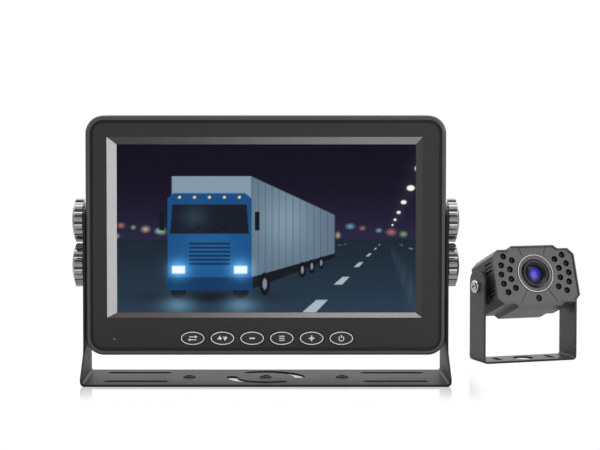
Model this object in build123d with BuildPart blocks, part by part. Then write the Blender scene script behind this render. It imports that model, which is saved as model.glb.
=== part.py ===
from build123d import *
from math import asin, cos, degrees, radians, sin
import os

# Backup camera kit: a dashboard monitor that tilts in a folded steel bracket between four clamp knobs,
# and a small infrared camera unit that tilts in a folded bracket of its own.
# Frame: +Z up, the screen faces -Y, origin at the centre of the monitor bracket's underside. Millimetres.

os.makedirs("parts", exist_ok=True)

# ---------------------------------------------------------------- driving dimensions: monitor
monitor_width = 238.4
monitor_height = 158.8
monitor_middle = 97.0
monitor_corner = 12.0
front_y = -10.0
split_y = 3.0
back_y = 21.0
wall = 2.5
face_y = front_y + wall
rim_width = 2.8
rim_round = 1.5
groove_width = 2.2
groove_depth = 1.0

screen_width = 198.0
screen_height = 111.7
screen_x = 0.3
screen_z = 101.5
mouth_left, mouth_right = 6.4, 4.2
mouth_top, mouth_bottom = 4.9, 3.1

panel_y = face_y + 0.3
cell_thickness = 1.6
cell_width, cell_height = 208.0, 124.0
module_width, module_height = 210.7, 126.5
module_z = 99.0
tray_y = panel_y + cell_thickness
tray_back_y = tray_y + 3.6

button_names = ("mode", "channel", "down", "menu", "up", "power")
button_pitch = 19.7
button_row_x = 0.8
button_first_x = button_row_x - 2.5 * button_pitch
button_z = 28.9
button_half_width, button_half_height = 8.25, 4.8
button_gap = 0.25
button_proud = 0.6
flange_margin = 0.8
stem_end_y = -5.45
key_board_y = -0.6
switch_body, switch_height = 6.0, 3.4

# ---------------------------------------------------------------- driving dimensions: monitor bracket
sheet = 1.5
bend_outer = 3.0
bracket_half = 121.0
bracket_height = 114.5
base_depth = 66.0
arm_front_y = -11.0
pivot_y = 11.0
pivot_z = 75.8
clamp_spacing = 30.1
clamp_slot_angle = 15.0
stud_radius = 2.5
pivot_hole = 2.58
clamp_slot_width = 5.6
small_hole = 2.4
small_hole_collar = 2.0
small_hole_pitch = 51.0
collar_height = 0.9
swivel_radius = 22.5
swivel_sweep = 118.0
swivel_width = 7.5
long_slot, long_slot_width = 43.0, 6.0
long_slot_pitch_x, long_slot_pitch_y = 171.0, 37.0

# ---------------------------------------------------------------- driving dimensions: clamp knobs
knob_radius = 14.65
knob_rim = 5.0
knob_crown = 2.8
knob_lobes = 12
knob_edge = 0.5
scallop_radius = 3.4
scallop_offset = 16.4
washer_radius = 6.6
pad_radius, pad_thickness, pad_proud = 8.0, 1.0, 0.15
washer_inner_x = bracket_half + 0.2
washer_thickness = 1.0
knob_x = washer_inner_x + washer_thickness + 0.02
stud_tip_x = 110.8
stud_head_x = knob_x + 4.0
insert_outer_x, insert_inner_x = 118.3, 109.3
insert_boss_x = 104.5
insert_radius = 3.6
insert_bore = 2.56

# ---------------------------------------------------------------- driving dimensions: camera unit
unit_x, unit_y = 185.0, 90.0
unit_yaw = 18.0
unit_pitch = -20.0
unit_half = 36.5
unit_height = 64.4
unit_depth = 24.0
unit_pivot_z = 54.0
unit_bore = 7.35
unit_slot, unit_slot_width, unit_slot_x = 12.0, 5.0, 20.7
pivot_screw = 2.0
pivot_screw_hole = 2.08
pivot_screw_tip = 24.5
pivot_boss, pivot_boss_height = 7.5, 1.5

housing_half = 32.0
housing_top, housing_bottom = 20.7, -18.5
housing_chamfer = 4.5
band_half_top, band_half_foot, band_rise = 16.5, 19.5, 2.5
housing_front, housing_back = -22.0, 14.0
housing_wall = 2.2
hood_lip = 1.0
plate_y, plate_back_y = -21.0, -19.6
ledge_y = -19.0
cover_back_y = 17.0

lens_z = 3.0
led_hole, led_radius = 2.3, 2.15
outer_led_radius, inner_led_radius = 26.3, 19.5
outer_led_angles = (-29.5, -14.75, 0.0, 14.75, 29.5)
inner_led_angles = (-31.0, -10.3, 10.3, 31.0)
sensor_drop = 18.0
led_board_y, led_board_back_y = -14.0, -12.4
sensor_board_y, sensor_board_back_y = -1.0, 0.6

unit_place = Pos(unit_x, unit_y, 0) * Rot(0, 0, unit_yaw)
housing_place = unit_place * Pos(0, 0, unit_pivot_z) * Rot(unit_pitch, 0, 0)


def facing_front(y):
    """Upright plane at depth y that faces -Y, with local X along +X and local Y along +Z."""
    return Plane.XZ.offset(-y)


def facing_out(side, x, y, z):
    """Upright plane at a point on the right (side 1) or left (side -1) that faces outwards."""
    return Plane(origin=(side * x, y, z), x_dir=(0, side, 0), z_dir=(side, 0, 0))


def housing_section(y, inset):
    """Section of the camera housing, with its raised band above and below, shrunk all round by inset."""
    with BuildSketch(facing_front(y)) as section:
        with BuildLine():
            right = Polyline(
                (0, housing_top + band_rise),
                (band_half_top, housing_top + band_rise),
                (band_half_foot, housing_top),
                (housing_half - housing_chamfer, housing_top),
                (housing_half, housing_top - housing_chamfer),
                (housing_half, housing_bottom + housing_chamfer),
                (housing_half - housing_chamfer, housing_bottom),
                (band_half_foot, housing_bottom),
                (band_half_top, housing_bottom - band_rise),
                (0, housing_bottom - band_rise),
            )
            mirror(right, about=Plane.YZ)
        make_face()
        if inset > 0:
            offset(amount=-inset, kind=Kind.INTERSECTION, mode=Mode.REPLACE)
        fillet(section.vertices(), 0.6)
    return section.sketch


# ================================================================ monitor bracket
# centre lines of the curved slots: two round the middle hole, and one above the pivot in each arm
swivel_arcs = [CenterArc((0, 0), swivel_radius, start, swivel_sweep) for start in (180, 0)]
clamp_arc = CenterArc((pivot_y, pivot_z), clamp_spacing, 90 - clamp_slot_angle, 2 * clamp_slot_angle)

with BuildPart() as monitor_bracket:
    with BuildSketch(Plane.XZ):
        with BuildLine():
            outside = FilletPolyline(
                (-bracket_half, bracket_height),
                (-bracket_half, 0),
                (bracket_half, 0),
                (bracket_half, bracket_height),
                radius=bend_outer,
            )
            offset(outside, amount=sheet, side=Side.LEFT)
        make_face()
    extrude(amount=base_depth / 2, both=True)
    # the arms stand on the rear two thirds of the base and flare forward at the foot
    with BuildSketch(Plane.YZ):
        with BuildLine():
            flare = FilletPolyline(
                (-base_depth / 2 - 1, 4.8), (arm_front_y, 19.5), (arm_front_y, bracket_height + 1), radius=9
            )
            Polyline(flare @ 1, (-base_depth / 2 - 1, bracket_height + 1), flare @ 0)
        make_face()
    extrude(amount=bracket_half + 1, both=True, mode=Mode.SUBTRACT)
    fillet(monitor_bracket.edges().filter_by(Axis.X).group_by(Axis.Z)[-1], 6)
    # three small screw holes in raised collars
    with BuildSketch(Plane.XY.offset(sheet)):
        with GridLocations(small_hole_pitch, 0, 3, 1):
            Circle(small_hole + small_hole_collar)
    extrude(amount=collar_height, taper=30)
    with BuildSketch(Plane.XY):
        with GridLocations(small_hole_pitch, 0, 3, 1):
            Circle(small_hole)
    extrude(amount=sheet + collar_height, mode=Mode.SUBTRACT)
    # two curved slots round the middle hole, and a pair of long slots at each end
    with BuildSketch(Plane.XY):
        for arc in swivel_arcs:
            SlotArc(arc=arc, height=swivel_width)
        with GridLocations(long_slot_pitch_x, long_slot_pitch_y, 2, 2):
            SlotOverall(long_slot, long_slot_width)
    extrude(amount=sheet, mode=Mode.SUBTRACT)
    # the pivot hole and the clamp slot above it, through both arms
    with BuildSketch(Plane.YZ.offset(-bracket_half)):
        with Locations((pivot_y, pivot_z)):
            Circle(pivot_hole)
        SlotArc(arc=clamp_arc, height=clamp_slot_width)
    extrude(amount=2 * bracket_half, mode=Mode.SUBTRACT)
monitor_bracket.part.label = "monitor_bracket"
export_step(monitor_bracket.part, "parts/monitor_bracket.step")

# ================================================================ monitor: front bezel
case_posts = [(side * 109.5, z) for side in (-1, 1) for z in (27.0, 167.0)]
clamp_posts = [(side * 110.6, z) for side in (-1, 1) for z in (62.0, 137.0)]
key_posts = [(button_row_x - 63.5, button_z), (button_row_x + 63.5, button_z)]
button_x = [button_first_x + n * button_pitch for n in range(len(button_names))]
microphone_x, microphone_z = -100.6, 27.8
microphone_hole = 1.1

with BuildPart() as front_bezel:
    with BuildSketch(facing_front(split_y)):
        with Locations((0, monitor_middle)):
            RectangleRounded(monitor_width, monitor_height, monitor_corner)
    extrude(amount=split_y - front_y)
    fillet(front_bezel.edges().group_by(Axis.Y)[0], rim_round)
    # hollow behind the face
    with BuildSketch(facing_front(split_y)):
        with Locations((0, monitor_middle)):
            RectangleRounded(monitor_width - 2 * wall, monitor_height - 2 * wall, monitor_corner - wall)
    extrude(amount=split_y - face_y, mode=Mode.SUBTRACT)
    # groove between the rim and the flat face
    with BuildSketch(facing_front(front_y)):
        with Locations((0, monitor_middle)):
            RectangleRounded(
                monitor_width - 2 * rim_width, monitor_height - 2 * rim_width, monitor_corner - rim_width
            )
            RectangleRounded(
                monitor_width - 2 * (rim_width + groove_width),
                monitor_height - 2 * (rim_width + groove_width),
                monitor_corner - rim_width - groove_width,
                mode=Mode.SUBTRACT,
            )
    extrude(amount=-groove_depth, mode=Mode.SUBTRACT)
    # window with four sloped sides, down to the display's edge
    with BuildSketch(facing_front(front_y)):
        with Locations(
            (
                screen_x + (mouth_right - mouth_left) / 2,
                screen_z + (mouth_top - mouth_bottom) / 2,
            )
        ):
            Rectangle(screen_width + mouth_left + mouth_right, screen_height + mouth_top + mouth_bottom)
    with BuildSketch(facing_front(face_y)):
        with Locations((screen_x, screen_z)):
            Rectangle(screen_width, screen_height)
    loft(mode=Mode.SUBTRACT)
    # oval button holes and the microphone hole
    with BuildSketch(facing_front(front_y)):
        for x in button_x:
            with Locations((x, button_z)):
                Ellipse(button_half_width + button_gap, button_half_height + button_gap)
        with Locations((microphone_x, microphone_z)):
            Circle(microphone_hole)
    extrude(amount=-wall, mode=Mode.SUBTRACT)
    # posts for the case screws, the display clamps and the key board
    with BuildSketch(facing_front(face_y)):
        with Locations(case_posts):
            Circle(3.4)
    extrude(amount=-(split_y - face_y))
    with BuildSketch(facing_front(face_y)):
        with Locations(clamp_posts):
            Circle(2.8)
    extrude(amount=-(tray_back_y - face_y))
    with BuildSketch(facing_front(face_y)):
        with Locations(key_posts):
            Circle(2.6)
    extrude(amount=-(key_board_y - face_y))
    with BuildSketch(facing_front(split_y)):
        with Locations(case_posts):
            Circle(1.45)
    extrude(amount=8, mode=Mode.SUBTRACT)
    with BuildSketch(facing_front(split_y)):
        with Locations(clamp_posts + key_posts):
            Circle(1.05)
    extrude(amount=8.5, mode=Mode.SUBTRACT)
front_bezel.part.label = "front_bezel"
export_step(front_bezel.part, "parts/front_bezel.step")

# ================================================================ monitor: rear cover
board_middle_z = 100.0
board_width, board_height = 120.0, 80.0
board_y, board_back_y = 8.0, 9.6
board_posts = [(x, board_middle_z + z) for x in (-54, 54) for z in (-34, 34)]
speaker_x, speaker_z, speaker_radius = 78.0, 52.0, 14.0
grommet_x, grommet_z = -70.0, 34.0
inside_back_y = back_y - wall
screw_seat_y = 9.0
lip = 1.2
pad_seat_x = monitor_width / 2 + pad_proud - pad_thickness

with BuildPart() as rear_cover:
    with BuildSketch(facing_front(split_y)):
        with Locations((0, monitor_middle)):
            RectangleRounded(monitor_width, monitor_height, monitor_corner)
    extrude(amount=-(back_y - split_y))
    fillet(rear_cover.edges().group_by(Axis.Y)[-1], 4)
    with BuildSketch(facing_front(split_y)):
        with Locations((0, monitor_middle)):
            RectangleRounded(monitor_width - 2 * wall, monitor_height - 2 * wall, monitor_corner - wall)
    extrude(amount=-(inside_back_y - split_y), mode=Mode.SUBTRACT)
    # locating lip that enters the front bezel
    with BuildSketch(facing_front(split_y + 1.5)):
        with Locations((0, monitor_middle)):
            RectangleRounded(
                monitor_width - 2 * wall + 0.4, monitor_height - 2 * wall + 0.4, monitor_corner - wall + 0.2
            )
            RectangleRounded(
                monitor_width - 2 * (wall + lip),
                monitor_height - 2 * (wall + lip),
                monitor_corner - wall - lip,
                mode=Mode.SUBTRACT,
            )
    extrude(amount=1.5)
    with BuildSketch(facing_front(split_y)):
        with Locations((0, monitor_middle)):
            RectangleRounded(
                monitor_width - 2 * wall - 0.3, monitor_height - 2 * wall - 0.3, monitor_corner - wall - 0.15
            )
            RectangleRounded(
                monitor_width - 2 * (wall + lip),
                monitor_height - 2 * (wall + lip),
                monitor_corner - wall - lip,
                mode=Mode.SUBTRACT,
            )
    extrude(amount=1.5)
    # posts for the case screws and the main board
    with BuildSketch(facing_front(split_y)):
        with Locations(case_posts):
            Circle(4.2)
    extrude(amount=-(inside_back_y - split_y))
    with BuildSketch(facing_front(board_back_y)):
        with Locations(board_posts):
            Circle(2.8)
    extrude(amount=-(inside_back_y - board_back_y))
    # bosses for the threaded side inserts, and round seats for the arm pads
    for side in (-1, 1):
        for z in (pivot_z, pivot_z + clamp_spacing):
            with BuildSketch(facing_out(side, insert_boss_x, pivot_y, z)):
                Circle(6.2)
            extrude(amount=monitor_width / 2 - insert_boss_x - wall / 2)
            with BuildSketch(facing_out(side, insert_inner_x, pivot_y, z)):
                Circle(insert_radius)
            extrude(amount=monitor_width / 2 - insert_inner_x, mode=Mode.SUBTRACT)
            with BuildSketch(facing_out(side, pad_seat_x, pivot_y, z)):
                Circle(pad_radius + 0.05)
            extrude(amount=monitor_width / 2 - pad_seat_x, mode=Mode.SUBTRACT)
    # screw holes: recessed heads for the case, blind pilots for the board
    with BuildSketch(facing_front(back_y)):
        with Locations(case_posts):
            Circle(3.0)
    extrude(amount=back_y - screw_seat_y, mode=Mode.SUBTRACT)
    with BuildSketch(facing_front(screw_seat_y)):
        with Locations(case_posts):
            Circle(1.55)
    extrude(amount=screw_seat_y - split_y, mode=Mode.SUBTRACT)
    with BuildSketch(facing_front(board_back_y)):
        with Locations(board_posts):
            Circle(1.05)
    extrude(amount=-6, mode=Mode.SUBTRACT)
    # ventilation slots, speaker grille, blank label recess and the hole for the cable grommet
    with BuildSketch(facing_front(back_y)):
        for x in (-62, 62):
            with Locations((x, 152)):
                with GridLocations(6, 0, 12, 1):
                    SlotOverall(16, 2.2, rotation=90)
        with Locations((speaker_x, speaker_z)):
            with GridLocations(0, 4.2, 1, 5):
                SlotOverall(20, 2.0)
        with Locations((grommet_x, grommet_z)):
            Circle(5.0)
    extrude(amount=wall, mode=Mode.SUBTRACT)
    with BuildSketch(facing_front(back_y)):
        with Locations((-10, 44)):
            RectangleRounded(70, 34, 2)
    extrude(amount=0.6, mode=Mode.SUBTRACT)
rear_cover.part.label = "rear_cover"
export_step(rear_cover.part, "parts/rear_cover.step")

# ================================================================ monitor: side inserts and arm pads
with BuildPart() as side_inserts:
    for side in (-1, 1):
        for z in (pivot_z, pivot_z + clamp_spacing):
            with BuildSketch(facing_out(side, insert_inner_x, pivot_y, z)):
                Circle(insert_radius - 0.02)
                Circle(insert_bore, mode=Mode.SUBTRACT)
            extrude(amount=insert_outer_x - insert_inner_x)
side_inserts.part.label = "side_inserts"
export_step(side_inserts.part, "parts/side_inserts.step")

with BuildPart() as arm_pads:
    for side in (-1, 1):
        for z in (pivot_z, pivot_z + clamp_spacing):
            with BuildSketch(facing_out(side, pad_seat_x, pivot_y, z)):
                Circle(pad_radius)
                Circle(insert_radius, mode=Mode.SUBTRACT)
            extrude(amount=pad_thickness)
arm_pads.part.label = "arm_pads"
export_step(arm_pads.part, "parts/arm_pads.step")

# ================================================================ monitor: display
with BuildPart() as display_gasket:
    with BuildSketch(facing_front(face_y)):
        with Locations((screen_x, screen_z)):
            Rectangle(screen_width + 8, screen_height + 8)
            Rectangle(screen_width + 2, screen_height + 2, mode=Mode.SUBTRACT)
    extrude(amount=-(panel_y - face_y))
display_gasket.part.label = "display_gasket"
export_step(display_gasket.part, "parts/display_gasket.step")

with BuildPart() as display_cell:
    with BuildSketch(facing_front(panel_y)):
        with Locations((screen_x, module_z)):
            Rectangle(cell_width, cell_height)
    extrude(amount=-cell_thickness)
display_cell.part.label = "display_cell"
export_step(display_cell.part, "parts/display_cell.step")

with BuildPart() as backlight_tray:
    with BuildSketch(facing_front(tray_y)):
        with Locations((screen_x, module_z)):
            Rectangle(module_width, module_height)
    extrude(amount=-(tray_back_y - tray_y))
    with BuildSketch(facing_front(tray_back_y)):
        with Locations((screen_x, module_z)):
            with GridLocations(92, 52, 2, 2):
                Rectangle(84, 44)
    extrude(amount=0.5, mode=Mode.SUBTRACT)
backlight_tray.part.label = "backlight_tray"
export_step(backlight_tray.part, "parts/backlight_tray.step")

with BuildPart() as display_clamps:
    for x, z in clamp_posts:
        inward = -1 if x > 0 else 1
        with BuildSketch(facing_front(tray_back_y)):
            with Locations((x + inward * 2.6, z)):
                RectangleRounded(10.5, 7, 1)
            with Locations((x, z)):
                Circle(1.2, mode=Mode.SUBTRACT)
        extrude(amount=-0.8)
display_clamps.part.label = "display_clamps"
export_step(display_clamps.part, "parts/display_clamps.step")

# ================================================================ monitor: boards and what they carry
with BuildPart() as main_board:
    with BuildSketch(facing_front(board_y)):
        with Locations((0, board_middle_z)):
            RectangleRounded(board_width, board_height, 2)
        with Locations(board_posts):
            Circle(1.3, mode=Mode.SUBTRACT)
    extrude(amount=-(board_back_y - board_y))
main_board.part.label = "main_board"
export_step(main_board.part, "parts/main_board.step")

flex_socket_z = board_middle_z - 32.0
board_items = (
    (0, board_middle_z + 6, 18, 18, 1.6),
    (30, board_middle_z + 14, 12, 8, 1.4),
    (-32, board_middle_z + 10, 11, 11, 4.0),
    (-38, board_middle_z - 20, 14, 9, 6.0),
    (36, board_middle_z - 20, 16, 7, 6.0),
    (0, flex_socket_z, 34, 5, 2.0),
)
with BuildPart() as board_parts:
    for x, z, item_width, item_height, item_depth in board_items:
        with BuildSketch(facing_front(board_y)):
            with Locations((x, z)):
                Rectangle(item_width, item_height)
        extrude(amount=item_depth)
    with BuildSketch(facing_front(board_y)):
        with Locations((-48, board_middle_z + 26), (-38, board_middle_z + 26), (48, board_middle_z + 6)):
            Circle(3.1)
    extrude(amount=7.0)
board_parts.part.label = "board_parts"
export_step(board_parts.part, "parts/board_parts.step")

# small screws inside the monitor: seat depth, side the head is on (1 front, -1 rear), shank length, spots
small_screws = (
    (tray_back_y + 0.8, -1, 4.2, clamp_posts),
    (key_board_y + 1.2, -1, 5.5, key_posts),
    (board_y, 1, 6.0, board_posts),
)
with BuildPart() as internal_screws:
    for seat_y, head_side, shank, spots in small_screws:
        with BuildSketch(facing_front(seat_y)):
            with Locations(spots):
                Circle(2.1)
        extrude(amount=head_side * 1.3)
        with BuildSketch(facing_front(seat_y)):
            with Locations(spots):
                Circle(1.0)
        extrude(amount=-head_side * shank)
internal_screws.part.label = "internal_screws"
export_step(internal_screws.part, "parts/internal_screws.step")

with BuildPart() as display_flex:
    with BuildSketch(Plane.YZ):
        with BuildLine():
            strip = FilletPolyline(
                (tray_back_y + 0.3, 46),
                (tray_back_y + 0.3, 55),
                (board_y - 2.05, 62),
                (board_y - 2.05, flex_socket_z + 2),
                radius=2.0,
            )
            offset(strip, amount=0.25, side=Side.LEFT)
        make_face()
    extrude(amount=15, both=True)
display_flex.part.label = "display_flex"
export_step(display_flex.part, "parts/display_flex.step")

with BuildPart() as key_board:
    with BuildSketch(facing_front(key_board_y)):
        with Locations((button_row_x, button_z)):
            RectangleRounded(134, 11, 1)
        with Locations(key_posts):
            Circle(1.3, mode=Mode.SUBTRACT)
    extrude(amount=-1.2)
key_board.part.label = "key_board"
export_step(key_board.part, "parts/key_board.step")

with BuildPart() as key_switches:
    for x in button_x:
        with BuildSketch(facing_front(key_board_y)):
            with Locations((x, button_z)):
                Rectangle(switch_body, switch_body)
        extrude(amount=switch_height)
        with BuildSketch(facing_front(key_board_y - switch_height)):
            with Locations((x, button_z)):
                Circle(1.7)
        extrude(amount=0.8)
key_switches.part.label = "key_switches"
export_step(key_switches.part, "parts/key_switches.step")

with BuildPart() as microphone:
    with BuildSketch(facing_front(face_y + 0.2)):
        with Locations((microphone_x, microphone_z)):
            Circle(3.0)
    extrude(amount=-2.7)
    fillet(microphone.edges().group_by(Axis.Y)[-1], 0.4)
microphone.part.label = "microphone"
export_step(microphone.part, "parts/microphone.step")

with BuildPart() as speaker:
    with BuildSketch(facing_front(inside_back_y)):
        with Locations((speaker_x, speaker_z)):
            Circle(speaker_radius)
    extrude(amount=3.0)
    with BuildSketch(facing_front(inside_back_y - 3.0)):
        with Locations((speaker_x, speaker_z)):
            Circle(speaker_radius - 5)
    extrude(amount=3.5)
    with BuildSketch(facing_front(inside_back_y)):
        with Locations((speaker_x, speaker_z)):
            Circle(speaker_radius - 2)
    extrude(amount=1.2, taper=35, mode=Mode.SUBTRACT)
speaker.part.label = "speaker"
export_step(speaker.part, "parts/speaker.step")

with BuildPart() as case_screws:
    with BuildSketch(facing_front(screw_seat_y)):
        with Locations(case_posts):
            Circle(2.7)
    extrude(amount=-1.8)
    fillet(case_screws.edges().group_by(Axis.Y)[-1], 0.6)
    with BuildSketch(facing_front(screw_seat_y + 1.8)):
        with Locations(case_posts):
            Rectangle(3.2, 0.7)
            Rectangle(0.7, 3.2)
    extrude(amount=1.0, mode=Mode.SUBTRACT)
    with BuildSketch(facing_front(screw_seat_y)):
        with Locations(case_posts):
            Circle(1.4)
    extrude(amount=13)
case_screws.part.label = "case_screws"
export_step(case_screws.part, "parts/case_screws.step")

with BuildPart() as cable_grommet:
    with BuildSketch(facing_front(inside_back_y)):
        with Locations((grommet_x, grommet_z)):
            Circle(7.0)
    extrude(amount=1.5)
    with BuildSketch(facing_front(inside_back_y)):
        with Locations((grommet_x, grommet_z)):
            Circle(4.95)
    extrude(amount=-(wall + 0.1))
    with BuildSketch(facing_front(back_y + 0.1)):
        with Locations((grommet_x, grommet_z)):
            Circle(6.5)
    extrude(amount=-3.0)
    fillet(cable_grommet.edges().group_by(Axis.Y)[-1], 1.0)
    with BuildSketch(facing_front(inside_back_y - 1.5)):
        with Locations((grommet_x, grommet_z)):
            Circle(2.25)
    extrude(amount=-(wall + 4.6), mode=Mode.SUBTRACT)
cable_grommet.part.label = "cable_grommet"
export_step(cable_grommet.part, "parts/cable_grommet.step")

# ================================================================ monitor: six oval buttons
for button_name, x in zip(button_names, button_x):
    with BuildPart() as button:
        with BuildSketch(facing_front(face_y + 0.1)):
            with Locations((x, button_z)):
                Ellipse(button_half_width, button_half_height)
        extrude(amount=face_y + 0.1 - front_y + button_proud)
        fillet(button.edges().group_by(Axis.Y)[0], 0.35)
        with BuildSketch(facing_front(face_y + 0.1)):
            with Locations((x, button_z)):
                Ellipse(button_half_width + flange_margin, button_half_height + flange_margin)
        extrude(amount=-0.9)
        with BuildSketch(facing_front(face_y + 1.0)):
            with Locations((x, button_z)):
                Circle(2.0)
        extrude(amount=-(stem_end_y - face_y - 1.0))
    button.part.label = f"button_{button_name}"
    export_step(button.part, f"parts/button_{button_name}.step")

# ================================================================ clamp knobs: head, stud and collar washer
for side_name, side in (("left", -1), ("right", 1)):
    for level, knob_z in (("lower", pivot_z), ("upper", pivot_z + clamp_spacing)):
        knob_seat = (side * knob_x, pivot_y, knob_z)
        with BuildPart() as knob_head:
            with BuildSketch(Plane(origin=knob_seat, x_dir=(side, 0, 0), z_dir=(0, -1, 0))):
                with BuildLine():
                    Polyline((knob_rim, knob_radius), (0, knob_radius), (0, 0), (knob_rim + knob_crown, 0))
                    ThreePointArc(
                        (knob_rim + knob_crown, 0),
                        (knob_rim + 0.76 * knob_crown, knob_radius / 2),
                        (knob_rim, knob_radius),
                    )
                make_face()
            revolve(axis=Axis(knob_seat, (side, 0, 0)))
            with BuildSketch(facing_out(side, knob_x, pivot_y, knob_z)):
                with PolarLocations(scallop_offset, knob_lobes):
                    Circle(scallop_radius)
            extrude(amount=knob_rim + knob_crown, mode=Mode.SUBTRACT)
            fillet(knob_head.edges().filter_by(Axis.X), knob_edge)
            with BuildSketch(facing_out(side, knob_x, pivot_y, knob_z)):
                Circle(stud_radius + 0.02)
            extrude(amount=stud_head_x - knob_x, mode=Mode.SUBTRACT)
        knob_head.part.label = f"knob_{level}_{side_name}"
        export_step(knob_head.part, f"parts/knob_{level}_{side_name}.step")

        with BuildPart() as knob_stud:
            with BuildSketch(facing_out(side, stud_tip_x, pivot_y, knob_z)):
                Circle(stud_radius)
            extrude(amount=stud_head_x - stud_tip_x)
            chamfer(knob_stud.edges().sort_by(Axis.X)[-1 if side < 0 else 0], 0.6)
        knob_stud.part.label = f"knob_stud_{level}_{side_name}"
        export_step(knob_stud.part, f"parts/knob_stud_{level}_{side_name}.step")

        with BuildPart() as knob_washer:
            with BuildSketch(facing_out(side, washer_inner_x, pivot_y, knob_z)):
                Circle(washer_radius)
                Circle(stud_radius + 0.06, mode=Mode.SUBTRACT)
            extrude(amount=washer_thickness)
        knob_washer.part.label = f"knob_washer_{level}_{side_name}"
        export_step(knob_washer.part, f"parts/knob_washer_{level}_{side_name}.step")

# ================================================================ camera unit: bracket
with BuildPart() as camera_bracket:
    with BuildSketch(Plane.XZ):
        with BuildLine():
            camera_outside = FilletPolyline(
                (-unit_half, unit_height),
                (-unit_half, 0),
                (unit_half, 0),
                (unit_half, unit_height),
                radius=bend_outer,
            )
            offset(camera_outside, amount=sheet, side=Side.LEFT)
        make_face()
    extrude(amount=unit_depth / 2, both=True)
    fillet(camera_bracket.edges().filter_by(Axis.X).group_by(Axis.Z)[-1], 8)
    with BuildSketch(Plane.XY):
        Circle(unit_bore)
        with GridLocations(2 * unit_slot_x, 0, 2, 1):
            SlotOverall(unit_slot, unit_slot_width, rotation=90)
    extrude(amount=sheet, mode=Mode.SUBTRACT)
    with BuildSketch(Plane.YZ.offset(-unit_half)):
        with Locations((0, unit_pivot_z)):
            Circle(pivot_screw_hole)
    extrude(amount=2 * unit_half, mode=Mode.SUBTRACT)
camera_bracket.part.move(unit_place)
camera_bracket.part.label = "camera_bracket"
export_step(camera_bracket.part, "parts/camera_bracket.step")

# ================================================================ camera unit: housing
# Each piece of the camera head is drawn level about its pivot axis, then set at its pitch and place.
rear_posts = [(side * 26.8, z) for side in (-1, 1) for z in (12.6, -10.4)]
fin_levels = (12.4, 9.6, 6.8, -5.0, -7.8, -10.6)

with BuildPart() as camera_shell:
    extrude(housing_section(housing_back, 0), amount=housing_back - housing_front)
    extrude(
        housing_section(housing_back, housing_wall), amount=housing_back - housing_front, mode=Mode.SUBTRACT
    )
    extrude(housing_section(ledge_y, hood_lip), amount=ledge_y - housing_front, mode=Mode.SUBTRACT)
    # cooling fins on both sides, behind the front edge
    with Locations([(side * housing_half, -13.5, z) for side in (-1, 1) for z in fin_levels]):
        Box(2.2, 11, 1.3, mode=Mode.SUBTRACT)
    # pivot bosses, outside and inside the walls
    for side in (-1, 1):
        with BuildSketch(facing_out(side, pivot_screw_tip - 1.5, 0, 0)):
            Circle(5.0)
        extrude(amount=housing_half + 1.5 - pivot_screw_tip)
        with BuildSketch(facing_out(side, housing_half - 0.5, 0, 0)):
            Circle(pivot_boss)
        extrude(amount=pivot_boss_height + 0.5)
        with BuildSketch(facing_out(side, pivot_screw_tip - 0.5, 0, 0)):
            Circle(pivot_screw + 0.03)
        extrude(amount=housing_half + 2.5 - pivot_screw_tip, mode=Mode.SUBTRACT)
    # posts for the rear cover's screws
    with BuildSketch(facing_front(housing_back)):
        with Locations(rear_posts):
            Circle(3.6)
    extrude(amount=housing_back + 5)
    with BuildSketch(facing_front(housing_back)):
        with Locations(rear_posts):
            Circle(1.15)
    extrude(amount=12, mode=Mode.SUBTRACT)
camera_shell.part.move(housing_place)
camera_shell.part.label = "camera_shell"
export_step(camera_shell.part, "parts/camera_shell.step")

led_spots = [
    (side * ring * cos(radians(angle)), lens_z + ring * sin(radians(angle)))
    for side in (-1, 1)
    for ring, angles in ((outer_led_radius, outer_led_angles), (inner_led_radius, inner_led_angles))
    for angle in angles
]
panel_lines = (
    ((10.5, 19.0), (8.0, 12.6)),
    ((13.0, -4.6), (8.3, -11.7)),
    ((8.3, -11.7), (14.0, -21.0)),
)

with BuildPart() as camera_plate:
    extrude(housing_section(plate_back_y, hood_lip + 0.12), amount=plate_back_y - plate_y)
    with BuildSketch(facing_front(plate_y)):
        with Locations((0, lens_z)):
            Circle(9.6)
        with Locations(led_spots):
            Circle(led_hole)
        with Locations((0, lens_z - sensor_drop)):
            Circle(2.35)
    extrude(amount=-(plate_back_y - plate_y), mode=Mode.SUBTRACT)
    # engraved lines that frame the lens
    with BuildSketch(facing_front(plate_y)):
        for side in (-1, 1):
            for (x0, z0), (x1, z1) in panel_lines:
                with BuildLine():
                    Line((side * x0, lens_z + z0), (side * x1, lens_z + z1))
                trace(line_width=0.6)
    extrude(amount=-0.5, mode=Mode.SUBTRACT)
camera_plate.part.move(housing_place)
camera_plate.part.label = "camera_plate"
export_step(camera_plate.part, "parts/camera_plate.step")

with BuildPart() as front_seal:
    extrude(housing_section(ledge_y, hood_lip + 0.2), amount=ledge_y - plate_back_y)
    extrude(housing_section(ledge_y, housing_wall), amount=ledge_y - plate_back_y, mode=Mode.SUBTRACT)
front_seal.part.move(housing_place)
front_seal.part.label = "front_seal"
export_step(front_seal.part, "parts/front_seal.step")

rear_seal_y = housing_back + 0.6
with BuildPart() as rear_seal:
    extrude(housing_section(rear_seal_y, 0.3), amount=rear_seal_y - housing_back)
    extrude(housing_section(rear_seal_y, housing_wall), amount=rear_seal_y - housing_back, mode=Mode.SUBTRACT)
rear_seal.part.move(housing_place)
rear_seal.part.label = "rear_seal"
export_step(rear_seal.part, "parts/rear_seal.step")

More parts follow.
